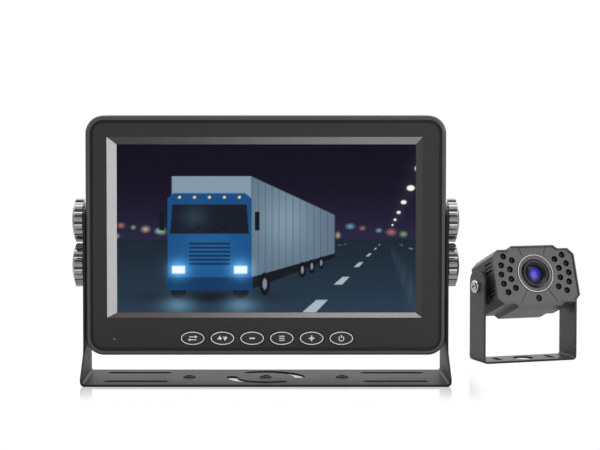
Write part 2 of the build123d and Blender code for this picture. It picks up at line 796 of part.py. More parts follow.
gland_z = -9.0
with BuildPart() as camera_rear_cover:
    extrude(housing_section(rear_seal_y, 0), amount=-(cover_back_y - rear_seal_y), taper=35)
    with BuildSketch(facing_front(cover_back_y)):
        with Locations(rear_posts):
            Circle(1.5)
        with Locations((0, gland_z)):
            Circle(4.0)
    extrude(amount=cover_back_y - rear_seal_y, mode=Mode.SUBTRACT)
camera_rear_cover.part.move(housing_place)
camera_rear_cover.part.label = "camera_rear_cover"
export_step(camera_rear_cover.part, "parts/camera_rear_cover.step")

with BuildPart() as camera_case_screws:
    with BuildSketch(facing_front(cover_back_y)):
        with Locations(rear_posts):
            Circle(2.4)
    extrude(amount=-1.5)
    fillet(camera_case_screws.edges().group_by(Axis.Y)[-1], 0.5)
    with BuildSketch(facing_front(cover_back_y + 1.5)):
        with Locations(rear_posts):
            Rectangle(2.8, 0.6)
            Rectangle(0.6, 2.8)
    extrude(amount=0.9, mode=Mode.SUBTRACT)
    with BuildSketch(facing_front(cover_back_y)):
        with Locations(rear_posts):
            Circle(1.1)
    extrude(amount=12)
camera_case_screws.part.move(housing_place)
camera_case_screws.part.label = "camera_case_screws"
export_step(camera_case_screws.part, "parts/camera_case_screws.step")

with BuildPart() as camera_gland:
    with BuildSketch(facing_front(cover_back_y)):
        with Locations((0, gland_z)):
            Circle(6.0)
    extrude(amount=-2.5)
    with BuildSketch(facing_front(cover_back_y)):
        with Locations((0, gland_z)):
            Circle(3.95)
    extrude(amount=cover_back_y - rear_seal_y + 1)
    with BuildSketch(facing_front(cover_back_y + 2.5)):
        with Locations((0, gland_z)):
            Circle(4.2)
    extrude(amount=-6, taper=8)
    with BuildSketch(facing_front(cover_back_y + 9)):
        with Locations((0, gland_z)):
            Circle(2.1)
    extrude(amount=16, mode=Mode.SUBTRACT)
camera_gland.part.move(housing_place)
camera_gland.part.label = "camera_gland"
export_step(camera_gland.part, "parts/camera_gland.step")

# ================================================================ camera unit: lens
lens_axis = Axis((0, 0, lens_z), (0, 1, 0))
lens_plane = Plane(origin=(0, 0, lens_z), x_dir=(0, 1, 0), z_dir=(-1, 0, 0))


def turned_about_lens(points):
    """Face of a closed profile, given as (depth, radius) points, on the plane through the lens axis."""
    with BuildSketch(lens_plane) as profile:
        with BuildLine():
            Polyline(*points, close=True)
        make_face()
    return profile.sketch


def lens_element(apex, rim, back, half):
    """Section of a plano-convex lens: domed from its apex to its rim, flat at the back."""
    sag = rim - apex
    dome = (half * half + sag * sag) / (2 * sag)
    with BuildSketch(lens_plane) as element:
        with BuildLine():
            front = JernArc((apex, 0), (0, 1), dome, -degrees(asin(half / dome)))
            Polyline(front @ 1, (back, half), (back, 0), (apex, 0))
        make_face()
    return element.sketch


with BuildPart() as lens_ring:
    revolve(turned_about_lens(((-21.0, 12.8), (-21.5, 13.1), (-21.5, 13.6), (-21.0, 14.0))), axis=lens_axis)
lens_ring.part.move(housing_place)
lens_ring.part.label = "lens_ring"
export_step(lens_ring.part, "parts/lens_ring.step")

with BuildPart() as lens_bezel:
    revolve(turned_about_lens(((-21.0, 9.6), (-21.9, 9.7), (-22.1, 10.1), (-21.0, 10.7))), axis=lens_axis)
lens_bezel.part.move(housing_place)
lens_bezel.part.label = "lens_bezel"
export_step(lens_bezel.part, "parts/lens_bezel.step")

with BuildPart() as lens_barrel:
    barrel_points = (
        (-21.8, 9.2),
        (-17.0, 9.2),
        (-17.0, 7.4),
        (-4.0, 7.4),
        (-4.0, 4.6),
        (-17.6, 5.2),
        (-18.4, 5.2),
        (-18.4, 6.6),
        (-20.0, 6.6),
        (-21.8, 8.4),
    )
    revolve(turned_about_lens(barrel_points), axis=lens_axis)
lens_barrel.part.move(housing_place)
lens_barrel.part.label = "lens_barrel"
export_step(lens_barrel.part, "parts/lens_barrel.step")

with BuildPart() as lens_glass:
    revolve(lens_element(-20.8, -19.3, -18.4, 6.5), axis=lens_axis)
lens_glass.part.move(housing_place)
lens_glass.part.label = "lens_glass"
export_step(lens_glass.part, "parts/lens_glass.step")

with BuildPart() as rear_lens:
    revolve(lens_element(-9.6, -8.6, -7.0, 4.5), axis=lens_axis)
rear_lens.part.move(housing_place)
rear_lens.part.label = "rear_lens"
export_step(rear_lens.part, "parts/rear_lens.step")

with BuildPart() as lens_holder:
    with BuildSketch(facing_front(sensor_board_y)):
        with Locations((0, lens_z)):
            RectangleRounded(20, 20, 2)
    extrude(amount=1.5)
    with BuildSketch(facing_front(sensor_board_y)):
        with Locations((0, lens_z)):
            Circle(8.8)
    extrude(amount=11)
    with BuildSketch(facing_front(sensor_board_y)):
        with Locations((0, lens_z)):
            Circle(7.45)
    extrude(amount=11, mode=Mode.SUBTRACT)
lens_holder.part.move(housing_place)
lens_holder.part.label = "lens_holder"
export_step(lens_holder.part, "parts/lens_holder.step")

# ================================================================ camera unit: boards, LEDs and sensors
spacer_spots = [(side * 15.5, z) for side in (-1, 1) for z in (14.5, -9.5)]

with BuildPart() as led_board:
    extrude(housing_section(led_board_back_y, 3.0), amount=led_board_back_y - led_board_y)
    with BuildSketch(facing_front(led_board_back_y)):
        with Locations((0, lens_z)):
            Circle(9.8)
    extrude(amount=led_board_back_y - led_board_y, mode=Mode.SUBTRACT)
led_board.part.move(housing_place)
led_board.part.label = "led_board"
export_step(led_board.part, "parts/led_board.step")

with BuildPart() as infrared_leds:
    with BuildSketch(facing_front(led_board_y)):
        with Locations(led_spots):
            Circle(led_radius + 0.25)
    extrude(amount=1.0)
    with BuildSketch(facing_front(led_board_y)):
        with Locations(led_spots):
            Circle(led_radius)
    extrude(amount=led_board_y - plate_y - 0.4)
    fillet(infrared_leds.edges().group_by(Axis.Y)[0], led_radius - 0.15)
infrared_leds.part.move(housing_place)
infrared_leds.part.label = "infrared_leds"
export_step(infrared_leds.part, "parts/infrared_leds.step")

with BuildPart() as light_sensor:
    with BuildSketch(facing_front(led_board_y)):
        with Locations((0, lens_z - sensor_drop)):
            Circle(2.2)
    extrude(amount=led_board_y - plate_y - 0.3)
    fillet(light_sensor.edges().group_by(Axis.Y)[0], 1.2)
light_sensor.part.move(housing_place)
light_sensor.part.label = "light_sensor"
export_step(light_sensor.part, "parts/light_sensor.step")

with BuildPart() as sensor_board:
    with BuildSketch(facing_front(sensor_board_y)):
        with Locations((0, lens_z - 0.5)):
            RectangleRounded(38, 30, 2)
    extrude(amount=-(sensor_board_back_y - sensor_board_y))
sensor_board.part.move(housing_place)
sensor_board.part.label = "sensor_board"
export_step(sensor_board.part, "parts/sensor_board.step")

with BuildPart() as image_sensor:
    with BuildSketch(facing_front(sensor_board_y)):
        with Locations((0, lens_z)):
            Rectangle(7.5, 6.5)
    extrude(amount=1.2)
image_sensor.part.move(housing_place)
image_sensor.part.label = "image_sensor"
export_step(image_sensor.part, "parts/image_sensor.step")

with BuildPart() as board_spacers:
    with BuildSketch(facing_front(sensor_board_y)):
        with Locations(spacer_spots):
            RegularPolygon(2.2, 6)
    extrude(amount=sensor_board_y - led_board_back_y)
board_spacers.part.move(housing_place)
board_spacers.part.label = "board_spacers"
export_step(board_spacers.part, "parts/board_spacers.step")

# ================================================================ camera unit: pivot screws and washers
with BuildPart() as pivot_screws:
    for side in (-1, 1):
        with BuildSketch(facing_out(side, unit_half + 0.2, 0, 0)):
            Circle(4.8)
        extrude(amount=2.8)
        head_edges = pivot_screws.edges().filter_by(GeomType.CIRCLE).sort_by(Axis.X)
        fillet(head_edges[0 if side < 0 else -1], 1.6)
        with BuildSketch(facing_out(side, unit_half + 3.0, 0, 0)):
            Rectangle(5.2, 1.1)
            Rectangle(1.1, 5.2)
        extrude(amount=-1.5, taper=12, mode=Mode.SUBTRACT)
        with BuildSketch(facing_out(side, pivot_screw_tip, 0, 0)):
            Circle(pivot_screw)
        extrude(amount=unit_half + 0.2 - pivot_screw_tip)
pivot_screws.part.move(housing_place)
pivot_screws.part.label = "pivot_screws"
export_step(pivot_screws.part, "parts/pivot_screws.step")

with BuildPart() as pivot_washers:
    for side in (-1, 1):
        with BuildSketch(facing_out(side, housing_half + pivot_boss_height, 0, 0)):
            Circle(pivot_boss - 0.5)
            Circle(pivot_screw + 0.1, mode=Mode.SUBTRACT)
        extrude(amount=1.2)
pivot_washers.part.move(housing_place)
pivot_washers.part.label = "pivot_washers"
export_step(pivot_washers.part, "parts/pivot_washers.step")
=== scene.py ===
"""Backup camera kit: finishes, the display's picture, button legends, studio and camera."""

import logging
import math
from dataclasses import dataclass, field
from enum import Enum

import bpy
import numpy as np
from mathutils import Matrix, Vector


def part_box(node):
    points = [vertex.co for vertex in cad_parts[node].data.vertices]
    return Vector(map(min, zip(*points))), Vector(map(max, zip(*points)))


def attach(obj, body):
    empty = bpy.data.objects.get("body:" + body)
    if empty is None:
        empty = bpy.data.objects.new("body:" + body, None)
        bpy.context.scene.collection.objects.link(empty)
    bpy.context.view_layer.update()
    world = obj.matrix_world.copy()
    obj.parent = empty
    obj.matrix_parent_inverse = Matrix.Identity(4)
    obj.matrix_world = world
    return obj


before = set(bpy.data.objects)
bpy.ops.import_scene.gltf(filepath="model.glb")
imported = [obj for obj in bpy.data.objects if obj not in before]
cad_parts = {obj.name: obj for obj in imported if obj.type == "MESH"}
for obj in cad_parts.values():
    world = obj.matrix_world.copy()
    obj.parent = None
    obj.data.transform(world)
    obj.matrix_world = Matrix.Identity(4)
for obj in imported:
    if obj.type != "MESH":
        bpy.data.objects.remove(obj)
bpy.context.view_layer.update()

logging.basicConfig(level=logging.INFO, format="%(name)s: %(message)s")
log = logging.getLogger("camera_kit")

MM = 0.001
Link = tuple[bpy.types.Node, str]
Point = tuple[float, float]


def srgb(hex_colour: str) -> np.ndarray:
    """Hex colour, with or without a leading #, as three numbers from 0 to 1, still in sRGB."""
    digits = hex_colour.lstrip("#")
    return np.array([int(digits[i:i + 2], 16) / 255 for i in (0, 2, 4)])


def to_linear(colours: np.ndarray) -> np.ndarray:
    """Turn sRGB values from 0 to 1 into linear light."""
    return np.where(colours <= 0.04045, colours / 12.92, ((colours + 0.055) / 1.055) ** 2.4)


def linear(hex_colour: str) -> tuple[float, float, float, float]:
    """Red, green, blue and full opacity, linear, for an sRGB hex colour."""
    return (*to_linear(srgb(hex_colour)).tolist(), 1.0)


def add_node(tree: bpy.types.NodeTree, kind: str, inputs: dict | None = None, **settings) -> bpy.types.Node:
    """Add one shader node with its settings and links.

    Args:
        tree: node tree that gets the node.
        kind: Blender's name for the node type.
        inputs: input socket name or number, with a value or a (node, output) pair to link from.
        **settings: properties of the node itself.

    Returns:
        The new node.
    """
    node = tree.nodes.new(kind)
    for name, value in settings.items():
        setattr(node, name, value)
    for socket, value in (inputs or {}).items():
        if isinstance(value, tuple) and len(value) == 2 and isinstance(value[0], bpy.types.Node):
            tree.links.new(value[0].outputs[value[1]], node.inputs[socket])
        else:
            node.inputs[socket].default_value = value
    return node


def new_material(name: str) -> tuple[bpy.types.Material, bpy.types.NodeTree]:
    """Make an empty node material.

    Args:
        name: name of the material.

    Returns:
        The material and its node tree, cleared.
    """
    material = bpy.data.materials.new(name)
    material.use_nodes = True
    material.node_tree.nodes.clear()
    return material, material.node_tree


def dress(obj: bpy.types.Object, material: bpy.types.Material) -> None:
    """Give an object one material on all of its slots.

    Args:
        obj: object to dress.
        material: its finish.
    """
    if not obj.material_slots:
        obj.data.materials.append(material)
    for slot in obj.material_slots:
        slot.material = material


# ---------------------------------------------------------------- finishes
@dataclass(frozen=True)
class Finish:
    """A surface: its common name, colour, gloss, and the grain that its making leaves.

    Lengths are in millimetres. mottle_mm is the size of slow colour change, grain_mm that of the grain.
    """

    name: str
    colour: str
    roughness: float = 0.45
    metallic: float = 0.0
    ior: float = 1.5
    coat: float = 0.0
    coat_roughness: float = 0.1
    mottle_mm: float = 30.0
    mottle: float = 0.06
    grain_mm: float = 1.2
    grain: float = 0.15
    gloss_change: float = 0.06

    def build(self) -> bpy.types.Material:
        """Build the node material.

        Returns:
            The finished material.
        """
        material, tree = new_material(self.name)
        place = add_node(tree, "ShaderNodeTexCoord")
        mottle = self.noise(tree, place, self.mottle_mm, 3.0)
        grain = self.noise(tree, place, self.grain_mm, 2.0)
        colour = self.colour_link(tree, place, mottle)
        gloss = self.gloss_link(tree, place, mottle)
        bump = add_node(
            tree, "ShaderNodeBump",
            {"Height": (grain, "Fac"), "Strength": self.grain, "Distance": 0.1 * self.grain_mm * MM},
        )
        shader = add_node(
            tree, "ShaderNodeBsdfPrincipled",
            {"Base Color": colour, "Roughness": gloss, "Metallic": self.metallic,
             "IOR": self.ior, "Coat Weight": self.coat, "Coat Roughness": self.coat_roughness,
             "Normal": (bump, "Normal")},
        )
        add_node(tree, "ShaderNodeOutputMaterial", {"Surface": (shader, "BSDF")})
        return material

    def noise(
        self, tree: bpy.types.NodeTree, place: bpy.types.Node, size_mm: float, detail: float
    ) -> bpy.types.Node:
        """Noise whose blotches are about size_mm across.

        Args:
            tree: node tree.
            place: texture coordinate node.
            size_mm: size of one blotch.
            detail: octaves of finer noise.

        Returns:
            The noise node.
        """
        return add_node(
            tree, "ShaderNodeTexNoise",
            {"Vector": (place, "Object"), "Scale": 1.0 / (size_mm * MM), "Detail": detail, "Roughness": 0.55},
        )

    def colour_link(self, tree: bpy.types.NodeTree, place: bpy.types.Node, mottle: bpy.types.Node) -> Link:
        """The base colour, slowly varied.

        Args:
            tree: node tree.
            place: texture coordinate node, not used here.
            mottle: slow noise.

        Returns:
            The node and output that carry the colour.
        """
        return self.vary(tree, linear(self.colour), mottle)

    def vary(self, tree: bpy.types.NodeTree, base: tuple, mottle: bpy.types.Node) -> Link:
        """One colour, a little darker and lighter from place to place.

        Args:
            tree: node tree.
            base: linear colour.
            mottle: slow noise.

        Returns:
            The node and output that carry the colour.
        """
        dark = tuple(c * (1 - self.mottle) for c in base[:3]) + (1.0,)
        light = tuple(min(1.0, c * (1 + self.mottle)) for c in base[:3]) + (1.0,)
        return add_node(tree, "ShaderNodeMix", {0: (mottle, "Fac"), 6: dark, 7: light}, data_type="RGBA"), 2

    def gloss_link(self, tree: bpy.types.NodeTree, place: bpy.types.Node, mottle: bpy.types.Node) -> Link:
        """The roughness, slowly varied.

        Args:
            tree: node tree.
            place: texture coordinate node, not used here.
            mottle: slow noise.

        Returns:
            The node and output that carry the roughness.
        """
        low, high = self.roughness - self.gloss_change, self.roughness + self.gloss_change
        return add_node(
            tree, "ShaderNodeMapRange", {"Value": (mottle, "Fac"), "To Min": low, "To Max": high}
        ), "Result"

    def tint(self, tree: bpy.types.NodeTree, mask: Link, under: Link, over: Link | tuple) -> Link:
        """Lay one colour over another where a mask says.

        Args:
            tree: node tree.
            mask: how much of the upper colour shows.
            under: lower colour.
            over: upper colour.

        Returns:
            The node and output that carry the mixed colour.
        """
        return add_node(tree, "ShaderNodeMix", {0: mask, 6: under, 7: over}, data_type="RGBA"), 2

    def ramp(self, tree: bpy.types.NodeTree, value: Link, start: float, end: float) -> Link:
        """Turn a value into a mask that rises smoothly from 0 at start to 1 at end.

        Args:
            tree: node tree.
            value: value to read.
            start: value with no mask.
            end: value with full mask.

        Returns:
            The node and output that carry the mask.
        """
        return add_node(
            tree, "ShaderNodeMapRange", {"Value": value, "From Min": start, "From Max": end},
            interpolation_type="SMOOTHSTEP",
        ), "Result"

    def both(self, tree: bpy.types.NodeTree, first: Link, second: Link) -> Link:
        """Where two masks overlap.

        Args:
            tree: node tree.
            first: one mask.
            second: the other mask.

        Returns:
            The node and output that carry their product.
        """
        return add_node(tree, "ShaderNodeMath", {0: first, 1: second}, operation="MULTIPLY"), 0


@dataclass(frozen=True)
class BezelFinish(Finish):
    """Moulded frame: flat face, a glossier rim painted lighter as painted sheen, a groove painted near black
    as painted shade, and slopes round the display painted with highlights and shade.
    """

    centre_z: float = 97.0
    half_width: float = 119.2
    half_height: float = 79.4
    corner: float = 12.0
    rim_width: float = 2.8
    groove_end: float = 5.0
    mouth_low: Point = (-105.1, 42.55)
    mouth_high: Point = (103.5, 162.25)
    # painted sheen: the rim is painted lighter than the face, as the sheen on its rounded edge
    rim_painted_sheen_colour: str = "#4b4b4d"
    # painted shade: the groove is painted near black, as the shade in its recess
    groove_painted_shade_colour: str = "#0b0b0c"
    # painted light: the window's left slope is painted pale as a painted highlight, the right slope dark as
    # painted shade, and the top and bottom slopes go from darker to lighter along X as painted reflection
    left_slope_painted_highlight: str = "#c4c4c6"
    right_slope_painted_shade: str = "#3a3a3b"
    top_slopes_painted_light: tuple[str, str] = ("#3c3c3e", "#8e8a87")
    low_slopes_painted_light: tuple[str, str] = ("#4d4744", "#a8a4a3")

    def edge_distance(self, tree: bpy.types.NodeTree, place: bpy.types.Node) -> Link:
        """Distance from the rounded outline, in metres, negative inside.

        Args:
            tree: node tree.
            place: texture coordinate node.

        Returns:
            The node and output that carry the distance.
        """
        inner = ((self.half_width - self.corner) * MM, 1.0, (self.half_height - self.corner) * MM)
        centred = add_node(
            tree, "ShaderNodeVectorMath", {0: (place, "Object"), 1: (0, 0, self.centre_z * MM)},
            operation="SUBTRACT",
        )
        folded = add_node(tree, "ShaderNodeVectorMath", {0: (centred, "Vector")}, operation="ABSOLUTE")
        past = add_node(tree, "ShaderNodeVectorMath", {0: (folded, "Vector"), 1: inner}, operation="SUBTRACT")
        held = add_node(
            tree, "ShaderNodeVectorMath", {0: (past, "Vector"), 1: (0, 0, 0)}, operation="MAXIMUM"
        )
        span = add_node(tree, "ShaderNodeVectorMath", {0: (held, "Vector")}, operation="LENGTH")
        return add_node(
            tree, "ShaderNodeMath", {0: (span, "Value"), 1: self.corner * MM}, operation="SUBTRACT"
        ), 0

    def window_mask(self, tree: bpy.types.NodeTree, parts: bpy.types.Node) -> Link:
        """The sloped sides of the display's window.

        Args:
            tree: node tree.
            parts: separated object coordinates.

        Returns:
            The node and output that carry the mask.
        """
        soft = 0.05
        masks = []
        for axis, low, high in zip("XZ", self.mouth_low, self.mouth_high):
            masks.append(self.ramp(tree, (parts, axis), (low - soft) * MM, (low + soft) * MM))
            masks.append(self.ramp(tree, (parts, axis), (high + soft) * MM, (high - soft) * MM))
        mask = masks[0]
        for other in masks[1:]:
            mask = self.both(tree, mask, other)
        return mask

    def colour_link(self, tree: bpy.types.NodeTree, place: bpy.types.Node, mottle: bpy.types.Node) -> Link:
        """Face colour, with the rim's painted sheen, the groove's painted shade and the four slopes' painted
        highlights and shade laid over it.

        Args:
            tree: node tree.
            place: texture coordinate node.
            mottle: slow noise.

        Returns:
            The node and output that carry the colour.
        """
        face = self.vary(tree, linear(self.colour), mottle)
        parts = add_node(tree, "ShaderNodeSeparateXYZ", {"Vector": (place, "Object")})
        facing = add_node(tree, "ShaderNodeSeparateXYZ", {"Vector": (place, "Normal")})
        distance = self.edge_distance(tree, place)
        # painted sheen: the rim's lighter colour
        rim = self.ramp(tree, distance, -(self.rim_width + 0.1) * MM, -self.rim_width * MM)
        colour = self.tint(tree, rim, face, self.vary(tree, linear(self.rim_painted_sheen_colour), mottle))
        # painted shade: the groove painted near black
        inside = self.ramp(tree, distance, -(self.groove_end + 0.1) * MM, -self.groove_end * MM)
        outside = self.ramp(tree, distance, -self.rim_width * MM, -(self.rim_width + 0.1) * MM)
        sunk = self.ramp(tree, (parts, "Y"), -9.95 * MM, -9.7 * MM)
        groove = self.both(tree, self.both(tree, inside, outside), sunk)
        colour = self.tint(tree, groove, colour, linear(self.groove_painted_shade_colour))
        along = self.ramp(tree, (parts, "X"), self.mouth_low[0] * MM, self.mouth_high[0] * MM)
        window = self.window_mask(tree, parts)
        # painted light: each window slope takes its painted highlight or painted shade by the way it faces
        slopes = (
            (("X", 0.1, 0.3), self.left_slope_painted_highlight, self.left_slope_painted_highlight),
            (("X", -0.1, -0.3), self.right_slope_painted_shade, self.right_slope_painted_shade),
            (("Z", -0.1, -0.3), *self.top_slopes_painted_light),
            (("Z", 0.1, 0.3), *self.low_slopes_painted_light),
        )
        for (axis, start, end), left, right in slopes:
            shade = self.tint(tree, along, self.vary(tree, linear(left), mottle), linear(right))
            mask = self.both(tree, window, self.ramp(tree, (facing, axis), start, end))
            colour = self.tint(tree, mask, colour, shade)
        return colour

    def gloss_link(self, tree: bpy.types.NodeTree, place: bpy.types.Node, mottle: bpy.types.Node) -> Link:
        """Satin on the face, and a smoother rim where the mould is polished.

        Args:
            tree: node tree.
            place: texture coordinate node.
            mottle: slow noise.

        Returns:
            The node and output that carry the roughness.
        """
        face = super().gloss_link(tree, place, mottle)
        width = self.rim_width * MM
        rim = self.ramp(tree, self.edge_distance(tree, place), -width, -0.4 * width)
        return add_node(tree, "ShaderNodeMix", {0: rim, 2: face, 3: 0.24}, data_type="FLOAT"), 0


@dataclass(frozen=True)
class SheetFinish(Finish):
    """Powder-coated folded sheet with painted shade on the cut edges that face along one axis, scuffed a
    little on the flats.
    """

    # painted shade: the cut edges facing along cut_axis are painted dark
    cut_edge_painted_shade: str = "#161617"
    cut_axis: tuple[float, float, float] = (0.0, 1.0, 0.0)
    rubbed: float = 1.16

    def colour_link(self, tree: bpy.types.NodeTree, place: bpy.types.Node, mottle: bpy.types.Node) -> Link:
        """Coat colour with painted shade on the cut edges and faint rubbed streaks.

        Args:
            tree: node tree.
            place: texture coordinate node.
            mottle: slow noise.

        Returns:
            The node and output that carry the colour.
        """
        flat = self.vary(tree, linear(self.colour), mottle)
        along = add_node(
            tree, "ShaderNodeVectorMath", {0: (place, "Normal"), 1: self.cut_axis}, operation="DOT_PRODUCT"
        )
        size = add_node(tree, "ShaderNodeMath", {0: (along, "Value")}, operation="ABSOLUTE")
        # painted shade on the cut edges, by the way they face
        cut = self.ramp(tree, (size, 0), 0.8, 0.97)
        # rubbed streaks about 25 mm long and 2 mm wide, where the coat has been handled
        stretch = add_node(
            tree, "ShaderNodeMapping", {"Vector": (place, "Object"), "Scale": (0.08, 1.0, 1.0)}
        )
        rubbed = add_node(
            tree, "ShaderNodeTexNoise", {"Vector": (stretch, "Vector"), "Scale": 500.0, "Detail": 3.0}
        )
        streaks = self.ramp(tree, (rubbed, "Fac"), 0.62, 0.78)
        rubbed_colour = (*(min(1.0, c * self.rubbed) for c in linear(self.colour)[:3]), 1.0)
        worn = self.tint(tree, streaks, flat, rubbed_colour)
        return self.tint(tree, cut, worn, linear(self.cut_edge_painted_shade))


@dataclass(frozen=True)
class LensFinish(Finish):
    """Coated front element: a painted reflection of the coating, bright violet in the middle and falling to
    black at the rim.
    """

    middle: tuple[float, float, float] = (0.0, 0.0, 0.0)
    turn: tuple[float, float, float] = (0.0, 0.0, 0.0)
    # painted reflection: violet colours from the lens middle out to its rim, in millimetres from the axis
    painted_reflection_rings: tuple[tuple[float, str], ...] = (
        (0.0, "#4a3ff0"), (1.5, "#2c20c8"), (3.3, "#2a1fa6"),
        (4.4, "#191470"), (5.2, "#0c0a24"), (6.6, "#08080c"),
    )

    def colour_link(self, tree: bpy.types.NodeTree, place: bpy.types.Node, mottle: bpy.types.Node) -> Link:
        """Rings of painted reflection colour about the lens axis.

        Args:
            tree: node tree.
            place: texture coordinate node.
            mottle: slow noise, not used here.

        Returns:
            The node and output that carry the colour.
        """
        local = add_node(
            tree, "ShaderNodeMapping",
            {"Vector": (place, "Object"), "Location": self.middle, "Rotation": self.turn},
            vector_type="TEXTURE",
        )
        flat = add_node(
            tree, "ShaderNodeVectorMath", {0: (local, "Vector"), 1: (1.0, 0.0, 1.0)}, operation="MULTIPLY"
        )
        radius = add_node(tree, "ShaderNodeVectorMath", {0: (flat, "Vector")}, operation="LENGTH")
        colour: Link | tuple = linear(self.painted_reflection_rings[0][1])
        for (inner, _), (outer, shade) in zip(self.painted_reflection_rings, self.painted_reflection_rings[1:]):
            step = self.ramp(tree, (radius, "Value"), inner * MM, outer * MM)
            colour = self.tint(tree, step, colour, linear(shade))
        return colour


LENS_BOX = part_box("lens_bezel")
LENS_MIDDLE = tuple((low + high) / 2 for low, high in zip(*LENS_BOX))
HEAD_TURN = (math.radians(-20.0), 0.0, math.radians(18.0))
UNIT_EDGES = (-math.sin(HEAD_TURN[2]), math.cos(HEAD_TURN[2]), 0.0)

FINISHES = {
    # folded steel under satin powder coat: even grey with a fine orange peel, soft wide highlights, and
    # painted shade on its cut edges
    "bracket": SheetFinish("powder_coated_steel", "#333334", 0.46, ior=1.38, grain_mm=1.6, grain=0.25),
    # moulded ABS front: deep even grey face, a smoother rim that catches thin highlights and is painted
    # lighter as painted sheen, a groove painted near black as painted shade, and window slopes painted with
    # highlights and shade
    "bezel": BezelFinish("satin_abs", "#232324", 0.54, grain_mm=0.9, grain=0.12),
    # spark-eroded ABS cover: fine pebble, nearly black
    "case": Finish("textured_abs", "#29292a", 0.55, grain_mm=1.0, grain=0.45),
    # turned brass: warm with a soft sheen
    "brass": Finish("machined_brass", "#c8a560", 0.3, 1.0),
    # moulded rubber: flat black, dusty
    "rubber": Finish("black_rubber", "#181818", 0.75, grain=0.3, mottle=0.2),
    # open-cell foam: rough and dead
    "foam": Finish("black_foam", "#202020", 0.9, grain=0.6),
    # glass under a polariser: black and glossy
    "display": Finish("display_polariser", "#0a0c10", 0.2),
    # cold-rolled steel: grey with a mill finish
    "steel": Finish("cold_rolled_steel", "#9a9a9c", 0.35, 1.0),
    # white polycarbonate frame round the light guide
    "tray": Finish("white_polycarbonate", "#d2d1cb", 0.5),
    # green solder mask on glass-fibre board
    "board": Finish("solder_mask", "#0f4a26", 0.35),
    # moulded epoxy chips, matt black
    "chip": Finish("moulded_epoxy", "#1c1c1e", 0.5),
    # nickel plate: warm bright metal
    "nickel": Finish("nickel_plate", "#d6d4cf", 0.22, 1.0, gloss_change=0.04),
    # amber film
    "flex": Finish("polyimide_film", "#8a4b12", 0.3),
    # oiled black oxide on screws
    "black_oxide": Finish("black_oxide_steel", "#202021", 0.4, 0.6),
    # the small bracket's coat, a shade darker and glossier, with painted shade on the cut edges of its face
    "camera_bracket": SheetFinish(
        "camera_powder_coat", "#444545", 0.38, grain_mm=1.4, grain=0.25, cut_axis=UNIT_EDGES,
        cut_edge_painted_shade="#262627",
    ),
    # die-cast housing under paint
    "camera_shell": Finish("camera_cast_alloy", "#3b3d3d", 0.34, grain_mm=1.2, grain=0.3),
    # painted front plate, lighter than the housing
    "camera_plate": Finish("camera_front_paint", "#525453", 0.44, grain_mm=1.0, grain=0.25),
    # dark chrome: the outer ring round the lens, bright only where it turns to a light
    "ring": Finish("dark_chrome", "#7e7e82", 0.18, 1.0, gloss_change=0.03, grain=0.04),
    # black chrome: the inner ring, one thin bright crescent
    "inner_ring": Finish("black_chrome", "#55555a", 0.14, 1.0, gloss_change=0.03, grain=0.04),
    # black anodised barrel with faint turning marks
    "barrel": Finish("lens_black", "#1b1b1e", 0.42, grain=0.2),
    # violet anti-reflection coating, its bright violet middle a painted reflection
    "lens": LensFinish(
        "violet_coating", "#2a20b0", 0.3, grain=0.0, gloss_change=0.02, middle=LENS_MIDDLE, turn=HEAD_TURN
    ),
    # smoked resin domes
    "led": Finish("smoked_resin", "#0a0a0c", 0.5, ior=1.35, grain=0.05),
    # button caps in the bezel's grey
    "button": Finish("button_abs", "#29292a", 0.48, grain_mm=0.9, grain=0.1),
    # plated clamp knobs: hard bright and dark bands
    "knob": Finish("knob_chrome", "#a4a4a6", 0.09, 1.0, gloss_change=0.03, grain=0.03),
    # nylon washers
    "washer": Finish("washer_nylon", "#0e0e0f", 0.45),
    # screen-printed white ink: thick enough to have its own soft sheen
    "ink": Finish("legend_ink", "#e6e6e6", 0.5, mottle=0.04, grain_mm=0.5, grain=0.2),
    # blank brushed label
    "label": Finish("label_foil", "#9c9ea0", 0.4, 0.8, grain_mm=0.8, grain=0.2),
}

NODE_FINISHES = {
    "monitor_bracket": "bracket", "front_bezel": "bezel", "rear_cover": "case", "side_inserts": "brass",
    "arm_pads": "rubber", "display_gasket": "foam", "display_cell": "display", "backlight_tray": "tray",
    "display_clamps": "steel", "main_board": "board", "board_parts": "chip", "internal_screws": "nickel",
    "display_flex": "flex", "key_board": "board", "key_switches": "chip", "microphone": "steel",
    "speaker": "chip", "case_screws": "black_oxide", "cable_grommet": "rubber",
    "camera_bracket": "camera_bracket", "camera_shell": "camera_shell", "camera_plate": "camera_plate",
    "front_seal": "foam", "rear_seal": "foam", "camera_rear_cover": "camera_shell",
    "camera_case_screws": "black_oxide", "camera_gland": "rubber", "lens_ring": "ring",
    "lens_bezel": "inner_ring", "lens_barrel": "barrel", "lens_glass": "lens", "rear_lens": "lens",
    "lens_holder": "barrel", "led_board": "board", "infrared_leds": "led", "light_sensor": "led",
    "sensor_board": "board", "image_sensor": "chip", "board_spacers": "brass", "pivot_screws": "nickel",
    "pivot_washers": "rubber",
}


